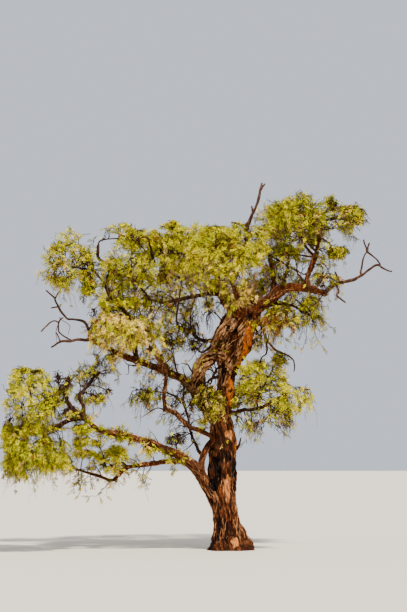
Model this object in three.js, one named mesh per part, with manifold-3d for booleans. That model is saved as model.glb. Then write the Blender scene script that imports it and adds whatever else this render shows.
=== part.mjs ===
// A whole acacia of the dry savanna: a short hollow trunk, long crooked boughs, dead limbs,
// and a flat-topped crown of separate leafy masses.
// Millimetres, +Z up. The origin is on the ground, in the middle of the trunk's flat cut.
// +X is the side of the dead limb at the top right, and the long low bough reaches to -X.
import * as THREE from "three";
import { mergeVertices } from "three/addons/utils/BufferGeometryUtils.js";
import Module from "manifold-3d";

const wasm = await Module();
wasm.setup();

// Driving sizes
const CLEAR = 0.4; // the gap left where one piece meets another
const MASS_GAP = 4; // the gap kept on each side of the plane between two masses
const BELOW_GROUND = 160; // how far the trunk's blank runs down before the flat cut
const MERGE = 0.002; // corners closer than this are one
const FIELD = 20000; // a block wider than the tree, which makes the flat cut
const UP = new THREE.Vector3(0.05, 0.03, 1).normalize(); // not quite parallel to any twig
const GOLDEN_ANGLE = Math.PI * (3 - Math.sqrt(5));

// Trunk and limbs
const TRUNK_STEPS = 20;
const TRUNK_SIDES = 16;
const LIMB_STEP = 340; // about how far apart the rings of a limb are
const PRONG_STEP = 90; // and those of a dead limb's prongs
const MOST_LIMB_STEPS = 11;

// The stem of a mass
const STEM_SIDES = 4;
const STEM_TIP = 17;
const STEM_STEP = 420;
const STEM_PAST = 0.42; // how far it runs past the middle, as a share of the mass's half size
const STEM_HIGH = 0.35; // how far above the middle it runs in a mass that hangs
const STEM_LOW = -0.12; // and below the middle in one that stands
const STANDING = 0.35; // the most that a standing mass hangs
const FIRST_LEAVING = 0.1; // how far along a stem its first twig may leave
const LAST_LEAVING = 0.95; // and its last

// Twigs and leaf sprays: each spray is one pointed blade, larger than life
const LEAF = { length: 540, width: 300, thickness: 14, widestAt: 0.48 };
const FULL_SIZE = 560; // the mean half size of a mass whose sprays have the full leaf length
const SMALLEST_SCALE = 0.62;
const LARGEST_SCALE = 1.15;
const TWIG = { foot: 10, tip: 7, sprayFoot: 2.2 };
const SPRAY_SHARES = [0.45, 0.85]; // where sprays leave a twig
const OPENING = 1.05; // the angle between a twig and its sprays
const FAN = 1.75; // how far round the twigs of a mass spread, from straight ahead
const FLATTEST = 0.5; // how far a blade is rolled from lying flat, at least
const STEEPEST = 1.4; // and at most
const NECK = 25; // how far from its root a spray must be clear of its own twig
const ATTEMPTS = 9; // turns that a spray tries before it is skipped
const TURN = 0.6; // how far a twig is turned for each attempt
const SAME_SIZE_ATTEMPTS = 3; // after these the spray is made smaller
const SHRINK = 0.25;

// The trunk: points up its middle, and its half width at heights above the ground
const trunkWay = [
  [10, 0, -BELOW_GROUND],
  [-50, 0, 520],
  [-80, -10, 940],
  [-120, -30, 1410],
  [-110, -40, 1980],
  [-140, -20, 2560],
  [-70, 0, 2980],
  [-20, 30, 3420],
  [165, 45, 3990],
  [340, 50, 4350],
  [420, 50, 4560],
];
const trunkGirth = [
  [0, 355],
  [250, 310],
  [500, 262],
  [1000, 215],
  [1400, 245],
  [2100, 238],
  [2700, 190],
  [3250, 166],
  [3600, 232],
  [3950, 300],
  [4300, 235],
  [4560, 165],
];
// Each root toe: the side it points to, in degrees, and how far it runs out at the ground
const rootToes = [
  { side: -8, reach: 165 },
  { side: 74, reach: 110 },
  { side: 128, reach: 70 },
  { side: 186, reach: 95 },
  { side: 238, reach: 80 },
  { side: 304, reach: 90 },
];
const TOE_HEIGHT = 170;
const TOE_SHARPNESS = 7;

// The boughs and limbs, each after the one that carries it: its way, and its half width
// at the foot and at the tip. Side prongs of a dead limb are part of it.
const limbs = [
  {
    name: "left_stem",
    way: [
      [-40, -30, 300],
      [-170, -60, 640],
      [-290, -110, 940],
      [-490, -170, 1320],
      [-640, -220, 1610],
    ],
    foot: 128,
    tip: 104,
  },
  {
    name: "long_left_bough",
    way: [
      [-570, -200, 1500],
      [-870, -300, 1750],
      [-1210, -420, 1900],
      [-1490, -520, 2010],
      [-2050, -680, 2180],
      [-2420, -760, 2250],
      [-2640, -800, 2420],
      [-2840, -820, 2530],
    ],
    foot: 92,
    tip: 38,
  },
  {
    name: "low_left_bough",
    way: [
      [-620, -205, 1520],
      [-970, -60, 1680],
      [-1510, 150, 1620],
      [-1980, 300, 1540],
      [-2240, 360, 1310],
      [-2490, 400, 1380],
      [-2960, 450, 1520],
    ],
    foot: 54,
    tip: 26,
  },
  {
    name: "cross_stem",
    way: [[-550, -190, 1560], [-480, -190, 1790], [-380, -140, 1980], [-180, -60, 2190]],
    foot: 66,
    tip: 60,
  },
  {
    name: "crooked_bough",
    way: [
      [-240, -60, 2120],
      [-550, -260, 2250],
      [-780, -360, 2340],
      [-1000, -460, 2560],
      [-1230, -520, 2650],
    ],
    foot: 54,
    tip: 42,
  },
  {
    name: "crooked_prop",
    way: [
      [-1200, -515, 2600],
      [-1230, -510, 2920],
      [-1200, -440, 3300],
      [-1310, -400, 3550],
      [-1470, -360, 3780],
    ],
    foot: 42,
    tip: 26,
  },
  {
    name: "inner_limb",
    way: [
      [-490, -185, 1730],
      [-650, -60, 2000],
      [-740, 60, 2270],
      [-800, 160, 2560],
      [-900, 260, 2830],
      [-1200, 330, 3010],
    ],
    foot: 34,
    tip: 18,
  },
  {
    name: "left_arm",
    way: [
      [-150, 10, 2260],
      [-490, 140, 2720],
      [-820, 240, 3200],
      [-1230, 260, 3410],
      [-1640, 220, 3570],
      [-1970, 160, 3680],
      [-2330, 80, 3850],
      [-2720, 20, 4040],
    ],
    foot: 98,
    tip: 38,
  },
  {
    name: "twisted_limb",
    way: [
      [-20, 0, 3700],
      [-245, -80, 3690],
      [-420, -160, 3590],
      [-560, -130, 3440],
      [-595, 0, 3270],
      [-575, 160, 3080],
    ],
    foot: 112,
    tip: 138,
  },
  {
    name: "dead_left_low",
    way: [[-2680, 20, 4020], [-3020, -80, 3980], [-3240, -160, 3950], [-3420, -200, 3850]],
    foot: 32,
    tip: 11,
    prongs: [
      [[-3020, -80, 3980], [-3220, -130, 4140], [-3280, -150, 4340], [-3180, -160, 4420]],
      [[-3240, -160, 3950], [-3300, -180, 4140]],
      [[-3280, -150, 4340], [-3420, -150, 4350], [-3590, -150, 4130]],
    ],
  },
  {
    name: "dead_left_high",
    way: [
      [-2680, 25, 4030],
      [-2740, 60, 4280],
      [-2880, 100, 4390],
      [-3160, 140, 4480],
      [-3300, 170, 4660],
      [-3380, 180, 4840],
      [-3560, 190, 4980],
    ],
    foot: 32,
    tip: 10,
    prongs: [
      [[-3380, 180, 4840], [-3280, 160, 5010]],
      [[-3300, 170, 4660], [-3460, 180, 4620]],
    ],
  },
  {
    name: "black_limb",
    way: [
      [-1740, 210, 3610],
      [-1900, 350, 4030],
      [-2010, 420, 4590],
      [-2280, 440, 4830],
      [-2400, 450, 5110],
      [-2360, 460, 5500],
      [-2550, 450, 5690],
      [-2570, 430, 5920],
    ],
    foot: 46,
    tip: 20,
  },
  {
    name: "left_fork_bough",
    way: [[330, 20, 4360], [140, -80, 4520], [-50, -180, 4700], [-170, -260, 4900]],
    foot: 112,
    tip: 72,
  },
  {
    name: "left_reach",
    way: [
      [-120, -240, 4850],
      [-420, -360, 4850],
      [-840, -500, 4740],
      [-1210, -600, 4670],
      [-1500, -680, 4700],
    ],
    foot: 52,
    tip: 26,
  },
  {
    name: "upright_left",
    way: [[-160, -255, 4860], [-190, -300, 5200], [-320, -330, 5400], [-400, -360, 5630]],
    foot: 42,
    tip: 26,
  },
  {
    name: "upright_centre",
    way: [[-140, -250, 4860], [-50, -220, 5040], [80, -160, 5250], [200, -120, 5430]],
    foot: 50,
    tip: 32,
  },
  {
    name: "dead_spike",
    way: [
      [180, -125, 5390],
      [320, -60, 5840],
      [380, 0, 6250],
      [500, 20, 6490],
      [560, 30, 6690],
      [640, 40, 6930],
      [660, 40, 7080],
    ],
    foot: 44,
    tip: 12,
    prongs: [
      [[640, 40, 6930], [740, 30, 7090]],
      [[400, 0, 6270], [270, -30, 6230], [60, -60, 6290]],
      [[500, 20, 6470], [440, 20, 6610]],
    ],
  },
  {
    name: "middle_left_limb",
    way: [
      [120, 30, 3940],
      [-320, -120, 3950],
      [-570, -220, 4020],
      [-740, -300, 4170],
      [-970, -380, 4220],
    ],
    foot: 56,
    tip: 28,
  },
  {
    name: "right_fork_bough",
    way: [
      [390, 50, 4440],
      [570, 30, 4630],
      [840, -40, 4810],
      [1070, -120, 4980],
      [1370, -200, 5000],
      [1640, -260, 4940],
      [1880, -300, 4860],
    ],
    foot: 128,
    tip: 54,
  },
  {
    name: "upright_right",
    way: [[840, -40, 4800], [880, 40, 5170], [830, 120, 5540], [760, 170, 5740]],
    foot: 62,
    tip: 34,
  },
  {
    name: "dead_right_limb",
    way: [
      [1830, -295, 4870],
      [2050, -380, 5030],
      [2310, -460, 5100],
      [2530, -520, 5180],
      [2770, -600, 5360],
      [2920, -640, 5320],
      [3080, -680, 5250],
    ],
    foot: 42,
    tip: 11,
    prongs: [
      [[2530, -520, 5180], [2520, -500, 5430], [2620, -490, 5650], [2580, -480, 5880]],
      [[2620, -490, 5650], [2690, -490, 5820]],
      [[2620, -490, 5650], [2800, -520, 5510], [2880, -540, 5390]],
      [[2170, -420, 5070], [2070, -420, 5180], [2020, -430, 5290]],
      [[2050, -380, 5030], [2100, -400, 4900], [2060, -400, 4820], [2230, -420, 4680]],
    ],
  },
  {
    name: "right_top_limb",
    way: [
      [1520, -240, 4960],
      [1510, -220, 5180],
      [1670, -160, 5600],
      [1730, -120, 5890],
      [1800, -80, 6250],
    ],
    foot: 62,
    tip: 36,
  },
  {
    name: "right_mid_limb",
    way: [
      [540, 40, 4560],
      [880, 80, 4710],
      [1180, 160, 4700],
      [1460, 240, 4550],
      [1670, 300, 4440],
    ],
    foot: 36,
    tip: 20,
  },
  {
    name: "right_low_limb",
    way: [[340, 20, 4300], [690, -260, 4270], [910, -440, 4190], [1100, -560, 4320]],
    foot: 46,
    tip: 22,
  },
  {
    name: "low_right_bough",
    way: [
      [-110, -20, 2620],
      [270, -260, 2630],
      [580, -440, 2680],
      [860, -560, 2820],
      [1030, -640, 2930],
    ],
    foot: 48,
    tip: 18,
  },
  {
    name: "back_bough_left",
    way: [[-1140, 250, 3370], [-1260, 520, 3590], [-1390, 800, 3830], [-1610, 1300, 4210]],
    foot: 58,
    tip: 30,
  },
  {
    name: "back_bough_centre",
    way: [[300, 60, 4230], [180, 300, 4580], [60, 620, 4870], [-190, 1200, 5280]],
    foot: 84,
    tip: 38,
  },
  {
    name: "back_bough_right",
    way: [[1030, -100, 4950], [1050, 180, 5070], [1100, 520, 5230], [1220, 1100, 5510]],
    foot: 56,
    tip: 30,
  },
  {
    name: "front_bough",
    way: [[300, 20, 4280], [270, -280, 4520], [200, -620, 4680], [40, -1200, 4940]],
    foot: 72,
    tip: 30,
  },
];

// The leafy masses: middle and half sizes of the space that each keeps to, the way of its stem
// from the bough's tip, that stem's half width, how many twigs leave it, and how far they hang.
const masses = [
  {
    name: "crown_left_lobe",
    middle: [-3140, 250, 5550],
    half: [650, 820, 680],
    stem: [[-2400, 455, 5120], [-2560, 420, 5300], [-2680, 360, 5410]],
    thick: 26,
    twigs: 9,
    hang: 0.15,
  },
  {
    name: "crown_left_wisp",
    middle: [-2080, 350, 6080],
    half: [520, 540, 300],
    stem: [[-2568, 431, 5870], [-2500, 410, 6010]],
    thick: 16,
    twigs: 5,
    hang: 0,
  },
  {
    name: "crown_left_core",
    middle: [-1860, -550, 5240],
    half: [660, 740, 640],
    stem: [[-1460, -665, 4690]],
    thick: 22,
    twigs: 7,
    hang: 0.2,
  },
  {
    name: "crown_mid_left",
    middle: [-960, -350, 5700],
    half: [800, 900, 560],
    stem: [[-385, -355, 5590]],
    thick: 22,
    twigs: 9,
    hang: 0.1,
  },
  {
    name: "crown_centre",
    middle: [300, -150, 5830],
    half: [680, 900, 480],
    stem: [[175, -130, 5390]],
    thick: 26,
    twigs: 8,
    hang: 0.1,
  },
  {
    name: "crown_right_dome",
    middle: [1440, 100, 6330],
    half: [860, 1010, 670],
    stem: [[1670, -160, 5600], [1540, -60, 5760], [1430, 20, 5950]],
    thick: 30,
    twigs: 11,
    hang: 0.1,
  },
  {
    name: "crown_right_tip",
    middle: [2320, -150, 6310],
    half: [470, 640, 420],
    stem: [[1790, -85, 6200], [1930, -100, 6330]],
    thick: 26,
    twigs: 6,
    hang: 0.5,
  },
  {
    name: "crown_right_inner",
    middle: [1320, 380, 5470],
    half: [680, 600, 500],
    stem: [[775, 160, 5700]],
    thick: 26,
    twigs: 4,
    hang: 0.2,
  },
  {
    name: "straw_skirt",
    middle: [-1840, -450, 4080],
    half: [930, 800, 660],
    stem: [[-1440, -370, 3740]],
    thick: 22,
    twigs: 8,
    hang: 0.6,
  },
  {
    name: "brown_tuft",
    middle: [-920, -150, 4820],
    half: [410, 580, 550],
    stem: [[-930, -370, 4210], [-1000, -330, 4380]],
    thick: 22,
    twigs: 4,
    hang: 0.4,
  },
  {
    name: "fork_tuft",
    middle: [320, 550, 5040],
    half: [430, 480, 430],
    stem: [[390, 60, 4440], [400, 300, 4720]],
    thick: 22,
    twigs: 4,
    hang: 0.3,
  },
  {
    name: "right_weep",
    middle: [1420, 350, 4560],
    half: [610, 640, 490],
    stem: [[1640, 290, 4450]],
    thick: 18,
    twigs: 6,
    hang: 0.8,
  },
  {
    name: "rusty_tuft",
    middle: [950, -520, 4170],
    half: [420, 480, 340],
    stem: [[1080, -545, 4300]],
    thick: 18,
    twigs: 4,
    hang: 0.6,
  },
  {
    name: "low_right_tuft",
    middle: [680, -200, 3190],
    half: [580, 640, 560],
    stem: [[550, -425, 2675], [530, -350, 2830]],
    thick: 18,
    twigs: 6,
    hang: 0.2,
  },
  {
    name: "low_right_end",
    middle: [1250, -750, 2840],
    half: [420, 530, 360],
    stem: [[1000, -625, 2910]],
    thick: 16,
    twigs: 4,
    hang: 0.4,
  },
  {
    name: "low_right_weep",
    middle: [730, -440, 2380],
    half: [530, 470, 350],
    stem: [[730, -500, 2755], [850, -490, 2660]],
    thick: 14,
    twigs: 4,
    hang: 0.9,
  },
  {
    name: "far_left_spray",
    middle: [-3660, -750, 2800],
    half: [700, 900, 730],
    stem: [[-2800, -815, 2510], [-3010, -800, 2740], [-3200, -780, 2780]],
    thick: 30,
    twigs: 9,
    hang: 0.1,
  },
  {
    name: "far_left_sparse",
    middle: [-2640, -10, 3300],
    half: [520, 720, 480],
    stem: [[-2690, -805, 2450], [-2750, -600, 2670], [-2820, -400, 2890], [-2730, -200, 3070]],
    thick: 24,
    twigs: 5,
    hang: 0.1,
  },
  {
    name: "far_left_weep",
    middle: [-3580, -850, 1830],
    half: [760, 800, 600],
    stem: [[-2790, -815, 2500], [-3040, -830, 2380], [-3250, -840, 2250]],
    thick: 20,
    twigs: 9,
    hang: 0.8,
  },
  {
    name: "left_shoot_tuft",
    middle: [-2710, -600, 2020],
    half: [320, 370, 240],
    stem: [[-2640, -800, 2415], [-2700, -700, 2240], [-2680, -640, 2130]],
    thick: 16,
    twigs: 3,
    hang: 0.5,
  },
  {
    name: "low_left_ball",
    middle: [-2250, 320, 1640],
    half: [400, 420, 360],
    stem: [[-1930, 285, 1550], [-2060, 300, 1650]],
    thick: 18,
    twigs: 5,
    hang: 0.3,
  },
  {
    name: "far_left_low",
    middle: [-3210, 500, 1600],
    half: [340, 450, 300],
    stem: [[-2930, 447, 1510]],
    thick: 22,
    twigs: 4,
    hang: 0.4,
  },
  {
    name: "inner_weep",
    middle: [-1600, 350, 2920],
    half: [470, 480, 360],
    stem: [[-1170, 325, 2995]],
    thick: 15,
    twigs: 4,
    hang: 0.8,
  },
  {
    name: "trunk_tuft",
    middle: [-340, -380, 2720],
    half: [410, 290, 440],
    stem: [[-120, -40, 2610], [-240, -300, 2800]],
    thick: 18,
    twigs: 4,
    hang: 0.3,
  },
  {
    name: "arm_weep",
    middle: [-1090, -50, 3880],
    half: [310, 370, 440],
    stem: [[-960, 250, 3290], [-1040, 120, 3560]],
    thick: 18,
    twigs: 3,
    hang: 0.6,
  },
  {
    name: "back_left_crown",
    middle: [-1780, 1500, 4820],
    half: [930, 900, 980],
    stem: [[-1585, 1250, 4175]],
    thick: 26,
    twigs: 8,
    hang: 0.3,
  },
  {
    name: "back_centre_crown",
    middle: [-430, 1500, 5870],
    half: [1160, 950, 630],
    stem: [[-170, 1155, 5250]],
    thick: 32,
    twigs: 8,
    hang: 0.1,
  },
  {
    name: "back_right_crown",
    middle: [1290, 1500, 6470],
    half: [790, 800, 630],
    stem: [[1210, 1060, 5490], [1250, 1250, 5810]],
    thick: 26,
    twigs: 7,
    hang: 0.1,
  },
  {
    name: "front_crown",
    middle: [-140, -1450, 5400],
    half: [790, 800, 510],
    stem: [[55, -1150, 4915]],
    thick: 26,
    twigs: 6,
    hang: 0.2,
  },
  {
    name: "back_low_tuft",
    middle: [670, 850, 3060],
    half: [580, 530, 390],
    stem: [[-90, 10, 2600], [190, 350, 2780]],
    thick: 20,
    twigs: 5,
    hang: 0.3,
  },
];
const strawMasses = ["straw_skirt", "fork_tuft", "rusty_tuft", "arm_weep", "brown_tuft"];
const deadLimbs = ["dead_left_low", "dead_left_high", "dead_spike", "dead_right_limb"];

// Materials
const bark = new THREE.MeshStandardMaterial({ color: "#5d4636", roughness: 0.95 });
const deadWood = new THREE.MeshStandardMaterial({ color: "#75665a", roughness: 0.9 });
const leafGreen = new THREE.MeshStandardMaterial({ color: "#a09a2e", roughness: 0.7 });
const leafStraw = new THREE.MeshStandardMaterial({ color: "#b9a565", roughness: 0.8 });

// A small seeded generator, so that the same tree grows every time
function seeded(seed) {
  let state = seed * 7919 + 17;
  return () => {
    state = (Math.imul(state, 1664525) + 1013904223) >>> 0;
    return state / 4294967296;
  };
}

const vector = (point) => new THREE.Vector3(...point);
const curveThrough = (points) => new THREE.CatmullRomCurve3(points, false, "catmullrom", 0.5);

// A closed shape through rings of corners, all counted the same way round: it ends in a flat
// face, or in a point where a tip is given
function loft(rings, tip) {
  const sides = rings[0].length;
  const corners = rings.flat();
  const triangles = [];
  for (let step = 0; step < rings.length - 1; step++) {
    for (let side = 0; side < sides; side++) {
      const here = step * sides + side;
      const next = step * sides + ((side + 1) % sides);
      triangles.push(here, next, next + sides);
      triangles.push(here, next + sides, here + sides);
    }
  }
  const last = (rings.length - 1) * sides;
  for (let side = 1; side < sides - 1; side++) {
    triangles.push(0, side + 1, side);
    if (!tip) triangles.push(last, last + side, last + side + 1);
  }
  if (tip) {
    for (let side = 0; side < sides; side++) {
      triangles.push(last + side, last + ((side + 1) % sides), corners.length);
    }
    corners.push(tip);
  }
  return solid(corners.flatMap((corner) => corner.toArray()), triangles);
}

// A tube along a curve. halfWidth gets the share of the way, and the direction and the middle
// of the ring for each corner. grow widens the tube on all sides, for a sleeve.
function tube(curve, steps, sides, halfWidth, grow = 0) {
  const { tangents, normals, binormals } = curve.computeFrenetFrames(steps);
  const rings = tangents.map((tangent, step) => {
    const share = step / steps;
    const middle = curve.getPointAt(share);
    if (step === 0) middle.addScaledVector(tangent, -grow);
    if (step === steps) middle.addScaledVector(tangent, grow);
    return Array.from({ length: sides }, (_, side) => {
      const angle = (side / sides) * 2 * Math.PI;
      const outward = new THREE.Vector3()
        .addScaledVector(normals[step], Math.cos(angle))
        .addScaledVector(binormals[step], Math.sin(angle));
      return middle.clone().addScaledVector(outward, halfWidth(share, outward, middle) + grow);
    });
  });
  return loft(rings);
}

function solid(corners, triangles) {
  const mesh = new wasm.Mesh({
    numProp: 3,
    vertProperties: new Float32Array(corners),
    triVerts: new Uint32Array(triangles),
  });
  return new wasm.Manifold(mesh);
}

// A closed geometry as a solid: only its positions are kept, with shared corners merged
function solidOf(geometry) {
  geometry.deleteAttribute("normal");
  geometry.deleteAttribute("uv");
  const merged = mergeVertices(geometry, MERGE);
  return solid(merged.getAttribute("position").array, merged.getIndex().array);
}

// The largest single body of a solid: what a cut leaves loose is dropped, a sealed hollow filled
function largestBody(whole) {
  const bodies = whole.decompose();
  return bodies.reduce((best, body) => (body.volume() > best.volume() ? body : best));
}

function boxesMeet(one, other) {
  const a = one.boundingBox();
  const b = other.boundingBox();
  return [0, 1, 2].every((axis) => a.min[axis] < b.max[axis] && b.min[axis] < a.max[axis]);
}

const touches = (piece, sleeves) =>
  sleeves.some((sleeve) => boxesMeet(piece, sleeve) && !piece.intersect(sleeve).isEmpty());

function cutClear(piece, sleeves) {
  const near = sleeves.filter((sleeve) => boxesMeet(piece, sleeve));
  return largestBody(near.reduce((rest, sleeve) => rest.subtract(sleeve), piece));
}

// The value at a height, on smooth steps between rows of [height, value]
function valueAt(rows, height) {
  const above = rows.findIndex(([rowHeight]) => rowHeight >= height);
  if (above === 0) return rows[0][1];
  if (above < 0) return rows[rows.length - 1][1];
  const [lowHeight, low] = rows[above - 1];
  const [highHeight, high] = rows[above];
  return THREE.MathUtils.lerp(
    low,
    high,
    THREE.MathUtils.smoothstep(height, lowHeight, highHeight),
  );
}

// The trunk is fluted all the way up, and its toes spread at the ground
function trunkHalfWidth(share, outward, middle) {
  const angle = Math.atan2(outward.y, outward.x);
  const height = Math.max(middle.z, 0);
  const broadFlutes = 0.07 * Math.cos(3 * angle + 0.6 + height / 900);
  const fineFlutes = 0.045 * Math.cos(5 * angle - height / 650);
  const toes = rootToes.map(({ side, reach }) => {
    const facing = Math.max(0, Math.cos(angle - THREE.MathUtils.degToRad(side)));
    return reach * facing ** TOE_SHARPNESS;
  });
  const flare = Math.exp(-height / TOE_HEIGHT) * toes.reduce((sum, toe) => sum + toe, 0);
  return valueAt(trunkGirth, height) * (1 + broadFlutes + fineFlutes) + flare;
}

function makeTrunk(grow) {
  const curve = curveThrough(trunkWay.map(vector));
  const blank = tube(curve, TRUNK_STEPS, TRUNK_SIDES, trunkHalfWidth, grow);
  const soil = new THREE.BoxGeometry(FIELD, FIELD, FIELD).translate(0, 0, -FIELD / 2 - grow);
  return largestBody(blank.subtract(solidOf(soil)));
}

// A limb thins evenly from a swollen collar to its tip, with knots and hollows by its seed
function limbHalfWidth({ foot, tip }, length, phase) {
  return (share, outward) => {
    const even = tip + (foot - tip) * (1 - share) ** 0.85;
    const collar = 1 + 0.3 * Math.exp((-share * length) / (1.6 * foot));
    const knots = 0.08 * Math.sin(share * length * 0.011 + phase);
    const hollows = 0.06 * Math.sin(4 * outward.z + 2 * phase);
    return even * collar * (1 + knots + hollows);
  };
}

function limbSides(foot) {
  if (foot > 90) return 7;
  return foot > 30 ? 5 : 3;
}

function makeLimb({ way, foot, tip }, phase, grow, spacing = LIMB_STEP) {
  const curve = curveThrough(way.map(vector));
  const length = curve.getLength();
  const wanted = Math.round(length / spacing);
  const steps = THREE.MathUtils.clamp(wanted, way.length - 1, MOST_LIMB_STEPS);
  return tube(curve, steps, limbSides(foot), limbHalfWidth({ foot, tip }, length, phase), grow);
}

// A limb with its prongs fused on
function makeBranched(limb, phase, grow) {
  const prongs = (limb.prongs ?? []).map((way, index) =>
    makeLimb({ way, foot: limb.foot * 0.5, tip: limb.tip * 0.8 }, phase + index, grow, PRONG_STEP),
  );
  return prongs.reduce((whole, prong) => whole.add(prong), makeLimb(limb, phase, grow));
}

// A mass's stem runs from its bough to the middle of the mass and on past it: high in a mass
// that hangs, low in one that stands
function stemCurve({ middle, half, stem, hang }) {
  const way = stem.map(vector);
  const entry = way[way.length - 1];
  const centre = vector(middle);
  centre.z += half[2] * (hang > STANDING ? STEM_HIGH : STEM_LOW);
  const reach = centre.clone().sub(entry);
  const beyond = vector(half).multiply(reach.clone().normalize()).multiplyScalar(STEM_PAST);
  return curveThrough([...way, centre, centre.clone().add(beyond)]);
}

function makeStem(mass, grow) {
  const curve = stemCurve(mass);
  const steps = THREE.MathUtils.clamp(Math.round(curve.getLength() / STEM_STEP), 3, 6);
  const halfWidth = (share) => THREE.MathUtils.lerp(mass.thick, STEM_TIP, share);
  return tube(curve, steps, STEM_SIDES, halfWidth, grow);
}

// The space of a mass: an ellipsoid, cut by a plane towards each neighbour
function spaceOf(mass) {
  const centre = vector(mass.middle);
  const half = vector(mass.half);
  const planes = masses
    .filter((other) => other !== mass)
    .map((other) => {
      const across = vector(other.middle).sub(centre);
      const distance = across.length();
      const direction = across.normalize();
      const ownReach = direction.clone().multiply(half).length();
      const otherReach = direction.clone().multiply(vector(other.half)).length();
      return { direction, limit: (distance * ownReach) / (ownReach + otherReach) - MASS_GAP };
    });
  const holds = (point, share = 1) => {
    const offset = point.clone().sub(centre);
    return (
      offset.clone().divide(half).length() <= share &&
      planes.every(({ direction, limit }) => offset.dot(direction) <= limit)
    );
  };
  return { centre, half, holds };
}

// Three corners round a point, across a direction: a twig where they are close, a blade where
// they are wide and thin
function ringOfThree(point, { side, face }, halfWidth, thickness) {
  const corner = (along, rise) =>
    point.clone().addScaledVector(side, along).addScaledVector(face, rise);
  return [
    corner(halfWidth, -thickness / 3),
    corner(0, (thickness * 2) / 3),
    corner(-halfWidth, -thickness / 3),
  ];
}

const twigRing = (point, axes, halfWidth) => ringOfThree(point, axes, halfWidth, 1.6 * halfWidth);

// The two axes across a direction, turned round it by the roll from lying flat
function axesAlong(direction, roll = 0) {
  const side = UP.clone().cross(direction).normalize().applyAxisAngle(direction, roll);
  return { side, face: direction.clone().cross(side) };
}

// A leaf spray: a thin pointed blade that grows out of the rings of its twig
function makeSpray(twigRings, root, direction, roll, scale) {
  const length = LEAF.length * scale;
  const belly = root.clone().addScaledVector(direction, length * LEAF.widestAt);
  const axes = axesAlong(direction, roll);
  const widest = ringOfThree(belly, axes, (LEAF.width * scale) / 2, LEAF.thickness);
  const tip = root.clone().addScaledVector(direction, length);
  const neck = twigRing(root.clone().addScaledVector(direction, NECK), axes, TWIG.sprayFoot);
  return {
    piece: loft([...twigRings, widest], tip),
    blade: loft([neck, widest], tip),
    points: [...widest, tip],
  };
}

// Where the outer end of twig number index lies: the twigs fan out round the way that the mass
// grows, from straight ahead to a little behind
function skinPoint(space, growth, index, count, turn) {
  const level = 1 - (FAN * (index + 0.5)) / count;
  const ring = Math.sqrt(Math.max(0, 1 - level * level));
  const angle = index * GOLDEN_ANGLE + turn;
  const { side, face } = axesAlong(growth);
  const offset = growth
    .clone()
    .multiplyScalar(level)
    .addScaledVector(side, ring * Math.cos(angle))
    .addScaledVector(face, ring * Math.sin(angle))
    .multiply(space.half);
  let share = 0.99;
  const point = new THREE.Vector3();
  do {
    point.copy(space.centre).addScaledVector(offset, share);
    share -= 0.04;
  } while (share > 0.3 && !space.holds(point));
  return point;
}

// The place on the stem from which a twig best reaches a point: the nearest, or just below it
function leavingPoint(curve, goal, space) {
  let best = LAST_LEAVING;
  let nearest = Infinity;
  for (let share = FIRST_LEAVING; share <= LAST_LEAVING; share += 0.05) {
    const point = curve.getPointAt(share);
    const distance = point.distanceTo(goal);
    if (distance < nearest && space.holds(point, 0.95)) {
      nearest = distance;
      best = share;
    }
  }
  return curve.getPointAt(Math.max(FIRST_LEAVING + 0.02, best - 0.03));
}

// A spray that finds no room is tried smaller
const shrinkOf = (attempt) => 1 - SHRINK * Math.floor(attempt / SAME_SIZE_ATTEMPTS);

function firstThatFits(make, fits) {
  for (let attempt = 0; attempt < ATTEMPTS; attempt++) {
    const made = make(attempt);
    if (fits(made)) return made;
  }
  return null;
}

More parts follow.
